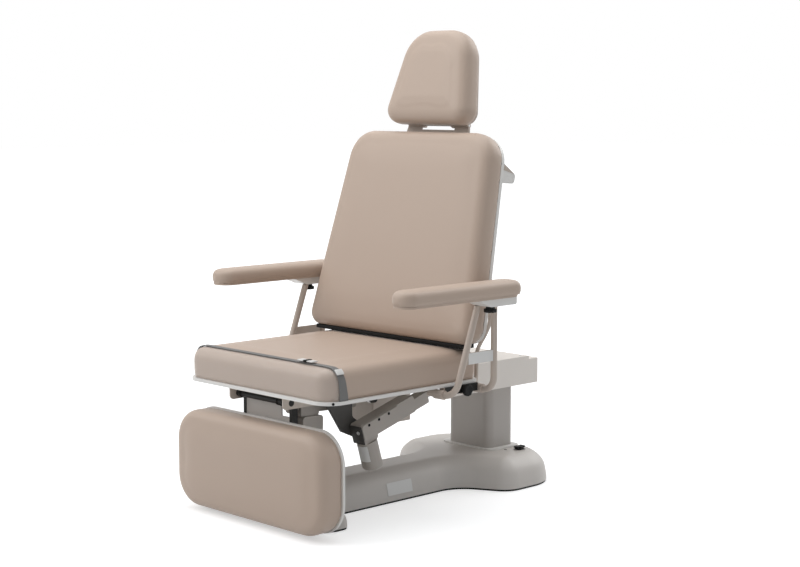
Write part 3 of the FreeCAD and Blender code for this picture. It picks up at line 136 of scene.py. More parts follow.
def makeGrain():
    group, entry, leave = newGroup(
        "pebbleGrain",
        [("Vector", "NodeSocketVector", None), ("Scale", "NodeSocketFloat", 900.0),
         ("Unevenness", "NodeSocketFloat", 0.4)],
        [("Height", "NodeSocketFloat"), ("Pits", "NodeSocketFloat")])
    cells = addNode(group, "ShaderNodeTexVoronoi", {"Randomness": 1.0}, feature="SMOOTH_F1")
    cells.inputs["Smoothness"].default_value = grainSettings["smoothness"]
    swell = addNode(group, "ShaderNodeTexNoise", {"Detail": 4.0, "Roughness": 0.55})
    group.links.new(entry.outputs["Vector"], cells.inputs["Vector"])
    group.links.new(entry.outputs["Vector"], swell.inputs["Vector"])
    group.links.new(entry.outputs["Scale"], cells.inputs["Scale"])
    swellScale = doMath(group, "MULTIPLY", entry.outputs["Scale"], grainSettings["swellScale"])
    group.links.new(swellScale, swell.inputs["Scale"])
    uneven = doMath(group, "MULTIPLY", swell.outputs[0], entry.outputs["Unevenness"])
    height = doMath(group, "SUBTRACT", uneven, cells.outputs["Distance"])
    group.links.new(height, leave.inputs["Height"])
    group.links.new(cells.outputs["Distance"], leave.inputs["Pits"])
    return group


# Scuffs: thin broken scratches that change the gloss
scuffSettings = {"turn": (0.3, 0.5, 0.9), "stretch": (1.0, 0.08, 1.0), "cloudScale": 6.0, "from": 0.58,
                 "to": 0.72}


def makeScuffs():
    group, entry, leave = newGroup(
        "lightScuffs",
        [("Vector", "NodeSocketVector", None), ("Scale", "NodeSocketFloat", 30.0),
         ("Gloss", "NodeSocketFloat", 0.4), ("Spread", "NodeSocketFloat", 0.15)],
        [("Roughness", "NodeSocketFloat"), ("Mask", "NodeSocketFloat")])
    stretch = addNode(group, "ShaderNodeMapping", {"Rotation": scuffSettings["turn"],
                                                   "Scale": scuffSettings["stretch"]})
    lines = addNode(group, "ShaderNodeTexNoise", {"Detail": 5.0, "Roughness": 0.7})
    clouds = addNode(group, "ShaderNodeTexNoise", {"Scale": scuffSettings["cloudScale"], "Detail": 3.0})
    ramp = addNode(group, "ShaderNodeValToRGB")
    ramp.color_ramp.elements[0].position = scuffSettings["from"]
    ramp.color_ramp.elements[1].position = scuffSettings["to"]
    group.links.new(entry.outputs["Vector"], stretch.inputs["Vector"])
    group.links.new(entry.outputs["Vector"], clouds.inputs["Vector"])
    group.links.new(stretch.outputs[0], lines.inputs["Vector"])
    group.links.new(entry.outputs["Scale"], lines.inputs["Scale"])
    group.links.new(lines.outputs[0], ramp.inputs[0])
    marks = doMath(group, "MULTIPLY", ramp.outputs[0], clouds.outputs[0])
    aroundZero = doMath(group, "SUBTRACT", clouds.outputs[0], 0.5)
    drift = doMath(group, "MULTIPLY", aroundZero, entry.outputs["Spread"])
    rough = doMath(group, "ADD", doMath(group, "ADD", entry.outputs["Gloss"], drift),
                   doMath(group, "MULTIPLY", marks, entry.outputs["Spread"]))
    group.links.new(rough, leave.inputs["Roughness"])
    group.links.new(marks, leave.inputs["Mask"])
    return group


toneDrift = makeToneDrift()
pebbleGrain = makeGrain()
lightScuffs = makeScuffs()


def useGroup(tree, group, vector, values):
    node = tree.nodes.new("ShaderNodeGroup")
    node.node_tree = group
    tree.links.new(vector, node.inputs["Vector"])
    for socket, value in values.items():
        node.inputs[socket].default_value = value
    return node


# One finish from its settings: tone, gloss and grain
def makeFinish(name, settings):
    material = bpy.data.materials.new(name)
    material.use_nodes = True
    tree = material.node_tree
    shader = tree.nodes["Principled BSDF"]
    for socket, value in settings.get("shader", {}).items():
        shader.inputs[socket].default_value = value
    place = tree.nodes.new("ShaderNodeTexCoord").outputs["Object"]
    drift = useGroup(tree, toneDrift, place, {
        "Base": (*settings["color"], 1), "Shade": (*settings["shade"], 1),
        "Scale": settings.get("driftScale", 3.0), "Amount": settings.get("drift", 0.5)})
    tree.links.new(drift.outputs["Color"], shader.inputs["Base Color"])
    scuffs = useGroup(tree, lightScuffs, place, {
        "Scale": settings.get("scuffScale", 30.0), "Gloss": settings["roughness"],
        "Spread": settings.get("spread", 0.12)})
    tree.links.new(scuffs.outputs["Roughness"], shader.inputs["Roughness"])
    grain = useGroup(tree, pebbleGrain, place, {
        "Scale": settings["grainScale"], "Unevenness": settings.get("unevenness", 0.4)})
    bump = addNode(tree, "ShaderNodeBump", {"Strength": settings["grainDepth"],
                                            "Distance": settings["grainSize"]})
    tree.links.new(grain.outputs["Height"], bump.inputs["Height"])
    tree.links.new(bump.outputs["Normal"], shader.inputs["Normal"])
    return material, tree, shader, place


finishes = {
    "taupeVinyl": {
        "color": (0.485, 0.378, 0.305), "shade": (0.455, 0.352, 0.283), "driftScale": 2.2, "drift": 0.5,
        "roughness": 0.46, "spread": 0.06, "grainScale": 620.0, "grainDepth": 0.16, "grainSize": 0.0006,
        "unevenness": 0.5,
        "shader": {"Sheen Weight": 0.06, "Sheen Roughness": 0.4, "Specular IOR Level": 0.42}},
    "taupePowderCoat": {
        "color": (0.52, 0.44, 0.38), "shade": (0.49, 0.415, 0.357), "driftScale": 5.0, "roughness": 0.5,
        "spread": 0.08, "grainScale": 1100.0, "grainDepth": 0.12, "grainSize": 0.0004},
    "headShell": {
        "color": (0.80, 0.745, 0.69), "shade": (0.76, 0.705, 0.65), "driftScale": 5.0, "roughness": 0.55,
        "spread": 0.08, "grainScale": 700.0, "grainDepth": 0.22, "grainSize": 0.0005},
    "frameCoat": {
        "color": (0.60, 0.53, 0.47), "shade": (0.56, 0.495, 0.44), "driftScale": 5.0, "roughness": 0.5,
        "spread": 0.08, "grainScale": 1100.0, "grainDepth": 0.14, "grainSize": 0.0004},
    "paleShell": {
        "color": (0.77, 0.75, 0.72), "shade": (0.73, 0.71, 0.68), "driftScale": 4.0, "roughness": 0.42,
        "spread": 0.1, "grainScale": 1200.0, "grainDepth": 0.08, "grainSize": 0.0004},
    "baseShell": {
        "color": (0.60, 0.562, 0.525), "shade": (0.56, 0.525, 0.49), "driftScale": 3.0, "roughness": 0.44,
        "spread": 0.12, "grainScale": 800.0, "grainDepth": 0.16, "grainSize": 0.0005},
    "columnCoat": {
        "color": (0.46, 0.425, 0.395), "shade": (0.42, 0.39, 0.36), "driftScale": 4.0, "roughness": 0.42,
        "spread": 0.12, "grainScale": 900.0, "grainDepth": 0.16, "grainSize": 0.0005},
    "blackCoat": {
        "color": (0.012, 0.0115, 0.011), "shade": (0.02, 0.019, 0.018), "driftScale": 9.0, "roughness": 0.5,
        "shader": {"Specular IOR Level": 0.2},
        "spread": 0.2, "grainScale": 1100.0, "grainDepth": 0.15, "grainSize": 0.0004},
    "blackMoulding": {
        "color": (0.008, 0.008, 0.008), "shade": (0.014, 0.014, 0.0135), "driftScale": 14.0,
        "roughness": 0.55, "shader": {"Specular IOR Level": 0.15},
        "spread": 0.2, "grainScale": 1500.0, "grainDepth": 0.25, "grainSize": 0.0004},
    "charcoalCast": {
        "color": (0.07, 0.066, 0.061), "shade": (0.05, 0.047, 0.044), "driftScale": 11.0, "roughness": 0.52,
        "shader": {"Specular IOR Level": 0.3},
        "spread": 0.16, "grainScale": 650.0, "grainDepth": 0.3, "grainSize": 0.0006},
    "driveShell": {
        "color": (0.41, 0.37, 0.335), "shade": (0.37, 0.335, 0.30), "driftScale": 7.0, "roughness": 0.45,
        "spread": 0.12, "grainScale": 900.0, "grainDepth": 0.14, "grainSize": 0.0005},
    "groundSteel": {
        "color": (0.56, 0.55, 0.54), "shade": (0.45, 0.445, 0.44), "driftScale": 25.0, "roughness": 0.3,
        "spread": 0.2, "scuffScale": 90.0, "grainScale": 2200.0, "grainDepth": 0.06, "grainSize": 0.0003,
        "shader": {"Metallic": 1.0}},
    "barePlate": {
        "color": (0.74, 0.73, 0.71), "shade": (0.69, 0.68, 0.66), "driftScale": 12.0, "roughness": 0.35,
        "spread": 0.15, "grainScale": 1600.0, "grainDepth": 0.05, "grainSize": 0.0003},
}
materials = {name: makeFinish(name, settings)[0] for name, settings in finishes.items()}


# Clear flexible sheet, slightly hazy
def makeClearSheet():
    settings = {"color": (0.86, 0.86, 0.86), "shade": (0.80, 0.80, 0.80), "roughness": 0.12, "spread": 0.1,
                "grainScale": 60.0, "grainDepth": 0.05, "grainSize": 0.002,
                "shader": {"Alpha": 0.07, "IOR": 1.46, "Coat Weight": 0.25}}
    return makeFinish("clearSheet", settings)[0]


# Woven band, crossed ribs over the tone
ribSettings = {"scale": 220.0, "distortion": 0.6, "strength": 0.5, "depth": 0.0006}


def makeWovenBand():
    settings = {"color": (0.19, 0.185, 0.18), "shade": (0.14, 0.137, 0.133), "driftScale": 20.0,
                "roughness": 0.7, "grainScale": 900.0, "grainDepth": 0.2, "grainSize": 0.0005}
    material, tree, shader, place = makeFinish("wovenBand", settings)
    wave = {"Scale": ribSettings["scale"], "Distortion": ribSettings["distortion"]}
    ribs = [addNode(tree, "ShaderNodeTexWave", wave, bands_direction=axis) for axis in ("X", "Y")]
    for rib in ribs:
        tree.links.new(place, rib.inputs["Vector"])
    weave = doMath(tree, "MULTIPLY", ribs[0].outputs[1], ribs[1].outputs[1])
    bump = addNode(tree, "ShaderNodeBump", {"Strength": ribSettings["strength"],
                                            "Distance": ribSettings["depth"]})
    tree.links.new(weave, bump.inputs["Height"])
    tree.links.new(bump.outputs["Normal"], shader.inputs["Normal"])
    return material


materials["clearSheet"] = makeClearSheet()
materials["wovenBand"] = makeWovenBand()

nodeFinish = {
    "taupePowderCoat": ["arm_frame_left", "arm_frame_right", "back_arm_left", "back_arm_right",
                        "headrest_fork", "headrest_board", "headrest_channel"],
    "frameCoat": ["seat_frame", "control_box"],
    "headShell": ["head_box", "head_lid", "head_rear_cover"],
    "paleShell": ["seat_plate", "leg_board", "back_panel", "arm_plate_left", "arm_plate_right", "push_handle",
                  "column_trim"],
    "baseShell": ["base_cover", "front_foot_cover"],
    "columnCoat": ["column_outer", "column_middle", "column_inner", "leg_panel"],
    "blackCoat": ["base_plate", "leg_rail_left", "leg_rail_right", "leg_shaft", "arm_receiver_left",
                  "arm_receiver_right", "pedal_housing"],
    "taupeVinyl": ["arm_board_left", "arm_board_right"],
    "blackMoulding": ["foot_pedal", "pad_knob_left", "pad_knob_right", "clamp_knob_left", "clamp_knob_right"],
    "charcoalCast": ["actuator_bracket", "leg_actuator_bracket"],
    "driveShell": ["back_actuator_housing", "back_actuator_motor", "back_actuator_cover",
                   "leg_actuator_housing", "leg_actuator_motor"],
    "groundSteel": ["back_shaft", "headrest_pin", "lift_screw", "lift_guide", "back_actuator_rod",
                    "leg_actuator_rod"],
    "clearSheet": ["seat_front_cover"],
    "wovenBand": ["cover_band"],
}
for finish, names in nodeFinish.items():
    for name in names:
        nodes[name].data.materials.clear()
        nodes[name].data.materials.append(materials[finish])

# The two end sleeves of each arm receiver are painted, its rail is black
receiverSplit = {"middle": -0.4425, "half": 0.0665, "sleeves": "taupePowderCoat"}
for name in ("arm_receiver_left", "arm_receiver_right"):
    mesh = nodes[name].data
    mesh.materials.append(materials[receiverSplit["sleeves"]])
    for face in mesh.polygons:
        face.material_index = int(abs(face.center.y - receiverSplit["middle"]) > receiverSplit["half"])
print("finishes on", sum(len(names) for names in nodeFinish.values()), "nodes")


# Modelling helpers
sides = (("Left", 1), ("Right", -1))
creaseAngle = math.radians(40)
fineCrease = math.radians(35)


def mirrored(spot, side):
    return (side * spot[0], spot[1], spot[2])


def selectOnly(obj):
    bpy.ops.object.select_all(action="DESELECT")
    obj.select_set(True)
    bpy.context.view_layer.objects.active = obj


def pickFaces(obj, test):
    bpy.ops.mesh.select_all(action="DESELECT")
    bpy.ops.object.mode_set(mode="OBJECT")
    for face in obj.data.polygons:
        face.select = bool(test(face))
    bpy.ops.object.mode_set(mode="EDIT")


def pickEdges(obj, test):
    bpy.ops.mesh.select_mode(type="EDGE")
    bpy.ops.mesh.select_all(action="DESELECT")
    bpy.ops.object.mode_set(mode="OBJECT")
    points = obj.data.vertices
    for edge in obj.data.edges:
        edge.select = bool(test(points[edge.vertices[0]].co, points[edge.vertices[1]].co))
    bpy.ops.object.mode_set(mode="EDIT")


def bakeModifiers(obj):
    selectOnly(obj)
    for modifier in list(obj.modifiers):
        bpy.ops.object.modifier_apply(modifier=modifier.name)


def settle(obj, name, body, finish, slotName):
    selectOnly(obj)
    bpy.ops.object.transform_apply(location=True, rotation=True, scale=True)
    obj.name = name
    obj.data.name = name
    obj.data.materials.clear()
    obj.data.materials.append(materials[finish])
    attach(obj, body)
    return obj


# Places on the leaning back, from its hinge: across, to the rear and up along it
backLean = math.radians(14.5)
backHinge = Vector((0, -0.402, 0.372))
backOut = (0, math.cos(backLean), -math.sin(backLean))


def onBack(across, rear, rise):
    along = Vector((0, math.sin(backLean), math.cos(backLean)))
    return backHinge + Vector((across, 0, 0)) + Vector(backOut) * rear + along * rise


# Stuffed pads: the node's form, drawn in, then swollen by air pressure under a stretched cover
padSettings = {
    "voxel": 0.0068, "drawIn": 0.005, "cap": 0.007, "pressure": 4.0, "frames": 20, "restDepth": 0.0012,
    "smoothing": 8, "evening": 30, "slack": 0.0008, "swellOver": 0.002, "ease": 5, "weld": 0.0001,
}
coverCloth = {"quality": 5, "mass": 0.3, "tension_stiffness": 20, "compression_stiffness": 20,
              "shear_stiffness": 8, "bending_stiffness": 2, "vertex_group_mass": "held", "use_pressure": True,
              "uniform_pressure_force": padSettings["pressure"]}
pads = {
    "seatPad": {"node": "seat_cushion", "body": "seat", "rest": (0, 0, -1), "swellOver": 0.0004},
    "backPad": {"node": "back_cushion", "body": "backrest", "rest": backOut, "fuller": 0.004},
    "headrestPad": {"node": "headrest_cushion", "body": "headrest", "rest": backOut, "fuller": 0.006,
                    "spread": 0.0035, "swellOver": 0.0005, "voxel": 0.0048},
    "legPad": {"node": "leg_cushion", "body": "legrest", "rest": (0, 1, 0)},
    "armPadLeft": {"node": "arm_cushion_left", "body": "arm_pad_left", "rest": (0, 0, -1), "voxel": 0.004,
                   "fuller": 0.003},
    "armPadRight": {"node": "arm_cushion_right", "body": "arm_pad_right", "rest": (0, 0, -1), "voxel": 0.004,
                    "fuller": 0.003},
}


def makePad(name, pad):
    bpy.ops.object.select_all(action="DESELECT")
    obj = nodes[pad["node"]].copy()
    obj.data = obj.data.copy()
    for key in list(obj.keys()):
        del obj[key]
    obj.parent = None
    bpy.context.scene.collection.objects.link(obj)
    selectOnly(obj)
    bpy.ops.object.mode_set(mode="EDIT")
    bpy.ops.mesh.select_all(action="SELECT")
    bpy.ops.mesh.remove_doubles(threshold=padSettings["weld"])
    bpy.ops.object.mode_set(mode="OBJECT")
    obj.data.remesh_voxel_size = pad.get("voxel", padSettings["voxel"])
    bpy.ops.object.voxel_remesh()
    rest = Vector(pad["rest"])
    floorLevel = max(point.co.dot(rest) for point in obj.data.vertices)
    resting = [point.index for point in obj.data.vertices
               if point.co.dot(rest) > floorLevel - padSettings["restDepth"]]
    held = obj.vertex_groups.new(name="held")
    held.add(resting, 1.0, "REPLACE")
    loose = obj.vertex_groups.new(name="loose")
    stays = set(resting)
    loose.add([point.index for point in obj.data.vertices if point.index not in stays], 1.0, "REPLACE")
    smoothLoose(obj, padSettings["smoothing"])
    swell(obj, stays)
    fillOut(obj, pad, stays)
    finer = obj.modifiers.new("finer", "SUBSURF")
    finer.levels = 1
    finer.render_levels = 1
    bakeModifiers(obj)
    bpy.ops.object.shade_smooth()
    obj.vertex_groups.clear()
    settle(obj, name, pad["body"], "taupeVinyl", "upholstery")
    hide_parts(pad["node"])
    print(name, "has", len(obj.data.polygons), "faces")


def smoothLoose(obj, times):
    smooth = obj.modifiers.new("smoothLoose", "SMOOTH")
    smooth.factor = 0.5
    smooth.iterations = times
    smooth.vertex_group = "loose"
    bakeModifiers(obj)


def swell(obj, stays):
    normals = [point.normal.copy() for point in obj.data.vertices]
    for point in obj.data.vertices:
        if point.index not in stays:
            point.co -= normals[point.index] * padSettings["drawIn"]
    start = [point.co.copy() for point in obj.data.vertices]
    cloth = obj.modifiers.new("cover", "CLOTH")
    for key, value in coverCloth.items():
        setattr(cloth.settings, key, value)
    cloth.settings.effector_weights.gravity = 0
    cloth.collision_settings.use_collision = False
    scene = bpy.context.scene
    for step in range(1, padSettings["frames"] + 1):
        scene.frame_set(step)
    shown = obj.evaluated_get(bpy.context.evaluated_depsgraph_get()).data
    moved = [point.co.copy() for point in shown.vertices]
    obj.modifiers.remove(cloth)
    scene.frame_set(1)
    reach = [min(max((last - first).dot(normal), 0.0), padSettings["cap"])
             for first, last, normal in zip(start, moved, normals)]
    reach = evenOut(obj, reach, stays)
    for point, first, normal, out in zip(obj.data.vertices, start, normals, reach):
        point.co = first + normal * out


# Each loose point's value drawn towards the mean of its neighbours
def evenOut(obj, field, stays):
    beside = [[] for _ in field]
    for edge in obj.data.edges:
        first, second = edge.vertices
        beside[first].append(second)
        beside[second].append(first)
    for _ in range(padSettings["evening"]):
        field = [value if index in stays else 0.5 * value + 0.5 * sum(field[i] for i in near) / len(near)
                 for index, (value, near) in enumerate(zip(field, beside))]
    return field


# The cover keeps close to the pad's own form, a little fuller on the sitter's side
def fillOut(obj, pad, stays):
    surface = BVHTree.FromObject(nodes[pad["node"]], bpy.context.evaluated_depsgraph_get())
    low, high = -padSettings["slack"], pad.get("swellOver", padSettings["swellOver"])
    spread, fuller, rest = pad.get("spread", 0.0), pad.get("fuller", 0.0), Vector(pad["rest"])
    levels = [point.co.dot(rest) for point in obj.data.vertices]
    foot, face = max(levels), min(levels)
    for point, level in zip(obj.data.vertices, levels):
        if point.index not in stays:
            spot, normal, _, _ = surface.find_nearest(point.co)
            off = min(max((point.co - spot).dot(normal), low), high) + spread
            point.co = spot + normal * off - rest * fuller * (foot - level) / (foot - face)
    smoothLoose(obj, padSettings["ease"])


for name, pad in pads.items():
    makePad(name, pad)
print("pads done")


# Small added pieces
def makeBlock(name, block, turn=(0, 0, 0)):
    bpy.ops.object.select_all(action="DESELECT")
    bpy.ops.mesh.primitive_cube_add(size=1, location=block["place"], rotation=turn)
    obj = bpy.context.object
    bpy.ops.object.mode_set(mode="EDIT")
    bpy.ops.mesh.select_all(action="SELECT")
    bpy.ops.transform.resize(value=block["size"], orient_type="LOCAL")
    bpy.ops.mesh.bevel(offset=block["edge"], segments=block.get("segments", 2))
    bpy.ops.object.mode_set(mode="OBJECT")
    bpy.ops.object.shade_smooth_by_angle(angle=creaseAngle)
    return settle(obj, name, block["body"], block["finish"], block["slot"])


# Black strip under the back pad: partly trim, partly painted shade for the shadowed gap between the pad and
# the seat
backStripAndGapShade = {"place": (0, -0.410, 0.5052), "size": (0.664, 0.052, 0.0128), "edge": 0.002, "segments": 3,
             "body": "backrest", "finish": "blackMoulding", "slot": "black_plastic"}
makeBlock("backStripAndGapShade", backStripAndGapShade)

# Clips of the band over the guard
bandClips = {
    "bandBuckle": {"place": (0.187, -0.922, 0.5035), "size": (0.013, 0.024, 0.005), "finish": "blackMoulding",
                   "slot": "black_plastic"},
    "bandClipInner": {"place": (0.166, -0.922, 0.503), "size": (0.026, 0.023, 0.0035), "finish": "barePlate",
                      "slot": "pale_shell"},
    "bandClipOuter": {"place": (0.207, -0.922, 0.503), "size": (0.024, 0.023, 0.0035), "finish": "barePlate",
                      "slot": "pale_shell"},
    "bandCatch": {"place": (0.3215, -0.921, 0.486), "size": (0.018, 0.026, 0.004), "finish": "barePlate",
                  "slot": "pale_shell", "turn": (0, math.radians(48), 0)},
}
for name, clip in bandClips.items():
    makeBlock(name, {**clip, "edge": 0.0011, "body": "seat"}, clip.get("turn", (0, 0, 0)))


# Knobs with a fluted grip, a collar and a dished top
knobSettings = {"flutes": 10, "fluteDepth": 0.93, "rim": 0.0022, "dish": 0.0012, "dishEdge": 0.3,
                "sink": 0.001}
knobs = {
    "padKnob": {"node": "pad_knob", "face": (0.412, -0.4, 0.6357), "axis": (0, 0, -1), "grip": 0.0195,
                "gripDepth": 0.0105, "collar": 0.0135, "collarDepth": 0.0095},
    "clampKnob": {"node": "clamp_knob", "face": (0.3363, -0.43, 0.377), "axis": (1, 0, 0), "grip": 0.018,
                  "gripDepth": 0.013, "collar": 0.012, "collarDepth": 0.006},
}


def fluteGrip(knob):
    count = knobSettings["flutes"] * 4
    bpy.ops.object.select_all(action="DESELECT")
    bpy.ops.mesh.primitive_cylinder_add(vertices=count, radius=knob["grip"], depth=knob["gripDepth"],
                                        location=(0, 0, knob["collarDepth"] + knob["gripDepth"] / 2))
    grip = bpy.context.object
    bpy.ops.object.mode_set(mode="EDIT")
    bpy.ops.mesh.select_mode(type="VERT")
    bpy.ops.mesh.select_all(action="DESELECT")
    bpy.ops.object.mode_set(mode="OBJECT")
    for point in grip.data.vertices:
        point.select = (point.index // 2) % 4 == 2
    bpy.ops.object.mode_set(mode="EDIT")
    deep = knobSettings["fluteDepth"]
    bpy.ops.transform.resize(value=(deep, deep, 1))
    top = knob["gripDepth"] / 2
    pickEdges(grip, lambda a, b: abs(a.z - b.z) < 1e-6)
    bpy.ops.mesh.bevel(offset=knobSettings["rim"], segments=3)
    bpy.ops.mesh.select_mode(type="FACE")
    pickFaces(grip, lambda face: face.normal.z > 0.99 and face.center.z > top - 1e-4)
    bpy.ops.mesh.inset(thickness=knob["grip"] * knobSettings["dishEdge"])
    bpy.ops.transform.translate(value=(0, 0, -knobSettings["dish"]))
    bpy.ops.object.mode_set(mode="OBJECT")
    return grip


def makeKnob(name, knob, node, side):
    grip = fluteGrip(knob)
    bpy.ops.object.select_all(action="DESELECT")
    bpy.ops.mesh.primitive_cylinder_add(vertices=32, radius=knob["collar"],
                                        depth=knob["collarDepth"] + knobSettings["sink"],
                                        location=(0, 0, knob["collarDepth"] / 2))
    collar = bpy.context.object
    selectOnly(grip)
    collar.select_set(True)
    bpy.ops.object.join()
    bpy.ops.object.transform_apply(location=True, rotation=True, scale=True)
    grip.rotation_euler = Vector(mirrored(knob["axis"], side)).to_track_quat("Z", "Y").to_euler()
    bpy.ops.object.transform_apply(location=True, rotation=True, scale=True)
    grip.location = mirrored(knob["face"], side)
    bpy.ops.object.shade_smooth_by_angle(angle=fineCrease)
    settle(grip, name, node, "blackMoulding", "black_plastic")
    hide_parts(node)


for kind, knob in knobs.items():
    for label, side in sides:
        makeKnob(kind + label, knob, f"{knob['node']}_{label.lower()}", side)


# The back drive's own axes, and places on it from its pivot
driveAhead = Vector((0, 0.9576, 0.2882))
driveUp = Vector((0, -0.2882, 0.9576))
driveTilt = math.radians(16.75)
drivePivot = Vector((0.16, -0.677, 0.258))


def onDrive(across, ahead, up):
    return drivePivot + Vector((across, 0, 0)) + driveAhead * ahead + driveUp * up


# Thin bare plates laid on a surface
barePlates = {
    "stemPlate": {"node": "base_cover", "body": "base", "place": (0.13, -0.471, 0.043), "along": (1, 0, 0),
                  "size": (0.106, 0.038)},
    "gussetPlateLeft": {"node": "arm_frame_left", "body": "arm_left", "place": (0.41, -0.420, 0.4805),
                        "along": (1, 0, 0), "size": (0.104, 0.0335)},
    "motorPlate": {"node": "back_actuator_motor", "body": "back_drive", "place": (0.166, -0.73, 0.178),
                   "along": -driveAhead, "size": (0.034, 0.05)},
}
plateSettings = {"lift": 0.0004, "gauge": 0.0007, "steps": (24, 10)}


def makeBarePlate(name, plate):
    bpy.ops.object.select_all(action="DESELECT")
    turn = Vector(plate["along"]).to_track_quat("Z", "Y").to_euler()
    across, up = plateSettings["steps"]
    bpy.ops.mesh.primitive_grid_add(x_subdivisions=across, y_subdivisions=up, size=1, location=plate["place"],
                                    rotation=turn)
    obj = bpy.context.object
    bpy.ops.object.mode_set(mode="EDIT")
    bpy.ops.mesh.select_all(action="SELECT")
    bpy.ops.transform.resize(value=(plate["size"][0], plate["size"][1], 1), orient_type="LOCAL")
    bpy.ops.object.mode_set(mode="OBJECT")
    wrap = obj.modifiers.new("layOn", "SHRINKWRAP")
    wrap.target = nodes[plate["node"]]
    wrap.wrap_method = "PROJECT"
    wrap.use_project_z = True
    wrap.use_negative_direction = True
    wrap.use_positive_direction = False
    wrap.offset = plateSettings["lift"]
    gauge = obj.modifiers.new("gauge", "SOLIDIFY")
    gauge.thickness = plateSettings["gauge"]
    gauge.offset = 1.0
    bakeModifiers(obj)
    bpy.ops.object.shade_smooth_by_angle(angle=fineCrease)
    settle(obj, name, plate["body"], "barePlate", "pale_shell")


for name, plate in barePlates.items():
    makeBarePlate(name, plate)


# Screws: a domed head with a round recess
screwSettings = {"sides": 30, "dome": 0.6, "ring": 0.3, "recess": 0.8}
screwStyles = {"steel": ("groundSteel", "bright_steel"), "black": ("blackMoulding", "black_plastic")}
backScrewRows = ((0.31, 0.17), (0.29, 0.45), (0.2, 0.74))
screws = {
    "gearCapScrew": {"spots": [onDrive(0.011, -0.0327, 0.011)], "axis": -driveAhead, "radius": 0.006,
                     "height": 0.002, "body": "back_drive", "style": "steel"},
    "coverScrew": {"spots": [onDrive(0.028, ahead, 0.025) for ahead in (0.001, 0.043, 0.085)],
                   "axis": (1, 0, 0), "radius": 0.0045, "height": 0.0014, "body": "back_drive",
                   "style": "black"},
    "rimPlugLeft": {"spots": [(0.3216, -0.9446, 0.397)], "axis": (0.86, -0.51, 0), "radius": 0.004,
                    "height": 0.0016, "body": "seat", "style": "black"},
    "rimPlugRight": {"spots": [(-0.3216, -0.9446, 0.397)], "axis": (-0.86, -0.51, 0), "radius": 0.004,
                     "height": 0.0016, "body": "seat", "style": "black"},
    "baseScrewFront": {"spots": [(0.132, -0.021, 0.0995)], "axis": (0, 0, 1), "radius": 0.0048,
                       "height": 0.0012, "body": "base", "style": "black"},
    "backPanelScrew": {"spots": [onBack(side * across, -0.007, rise) for across, rise in backScrewRows
                                 for side in (1, -1)],
                       "axis": backOut, "radius": 0.006, "height": 0.0022, "body": "backrest",
                       "style": "steel"},
    "legBoardScrew": {"spots": [(across, -0.918, rise) for rise in (0.08, 0.25) for across in (0.25, -0.25)],
                      "axis": (0, 1, 0), "radius": 0.005, "height": 0.002, "body": "legrest",
                      "style": "steel"},
    "lidScrew": {"spots": [(across, back, 0.404) for back in (0.05, -0.28) for across in (0.13, -0.13)],
                 "axis": (0, 0, 1), "radius": 0.0045, "height": 0.0014, "body": "seat", "style": "steel"},
}


def makeScrew(name, spot, screw):
    radius, height = screw["radius"], screw["height"]
    bpy.ops.object.select_all(action="DESELECT")
    bpy.ops.mesh.primitive_cylinder_add(vertices=screwSettings["sides"], radius=radius, depth=2 * height)
    obj = bpy.context.object
    bpy.ops.object.mode_set(mode="EDIT")
    pickEdges(obj, lambda a, b: a.z > 0 and b.z > 0)
    bpy.ops.mesh.bevel(offset=height * screwSettings["dome"], segments=3)
    bpy.ops.mesh.select_mode(type="FACE")
    pickFaces(obj, lambda face: face.normal.z > 0.99)
    bpy.ops.mesh.inset(thickness=radius * screwSettings["ring"])
    sink = (0, 0, -height * screwSettings["recess"])
    bpy.ops.mesh.extrude_region_move(TRANSFORM_OT_translate={"value": sink})
    bpy.ops.object.mode_set(mode="OBJECT")
    obj.rotation_euler = Vector(screw["axis"]).to_track_quat("Z", "Y").to_euler()
    obj.location = spot
    bpy.ops.object.shade_smooth_by_angle(angle=creaseAngle)
    settle(obj, name, screw["body"], *screwStyles[screw["style"]])


# A lone screw keeps its name, and those of a row are numbered
for name, screw in screws.items():
    numbered = len(screw["spots"]) > 1
    for step, spot in enumerate(screw["spots"]):
        makeScrew(f"{name}{step + 1}" if numbered else name, spot, screw)

# Dark cap on the front of the gear head: partly a cover plate, partly painted shade for that face, which lies
# in shadow
makeBlock("gearCapAndShade", {"place": onDrive(0.003, -0.0312, 0.003), "size": (0.05, 0.003, 0.058), "edge": 0.0012,
                      "body": "back_drive", "finish": "charcoalCast", "slot": "charcoal"}, (driveTilt, 0, 0))


# Taupe triangles on the ends of the push handle: partly its taupe paint, partly painted shade for the top of
# each end, which lies in shadow
handleTaupeAndShade = {"across": 0.2964, "gauge": 0.0008,
                "corners": ((-0.005, 0.704), (0.064, 0.6795), (-0.005, 0.681))}


def makeHandleTaupeAndShade(name, side):
    bpy.ops.object.select_all(action="DESELECT")
    bpy.ops.mesh.primitive_circle_add(vertices=len(handleTaupeAndShade["corners"]), fill_type="NGON")
    obj = bpy.context.object
    for point, (rear, rise) in zip(obj.data.vertices, handleTaupeAndShade["corners"]):
        point.co = onBack(side * handleTaupeAndShade["across"], rear, rise)
    gauge = obj.modifiers.new("gauge", "SOLIDIFY")
    gauge.thickness = handleTaupeAndShade["gauge"]
    gauge.offset = 0
    bakeModifiers(obj)
    settle(obj, name, "backrest", "taupePowderCoat", "frame_paint")


for label, side in sides:
    makeHandleTaupeAndShade(f"handleTaupeAndShade{label}", side)


# Round bent rods that carry the back, in place of the plain bars
backRods = {
    "radius": 0.0062, "across": 0.301, "hubRadius": 0.017, "hubDepth": 0.01,
    "path": ((-0.402, 0.372), (-0.36, 0.366), (-0.342, 0.38), (-0.341, 0.46), (-0.336, 0.49), (-0.295, 0.535),
             (-0.281, 0.565), (-0.284, 0.60), (-0.331, 0.625), (-0.337, 0.65)),
}


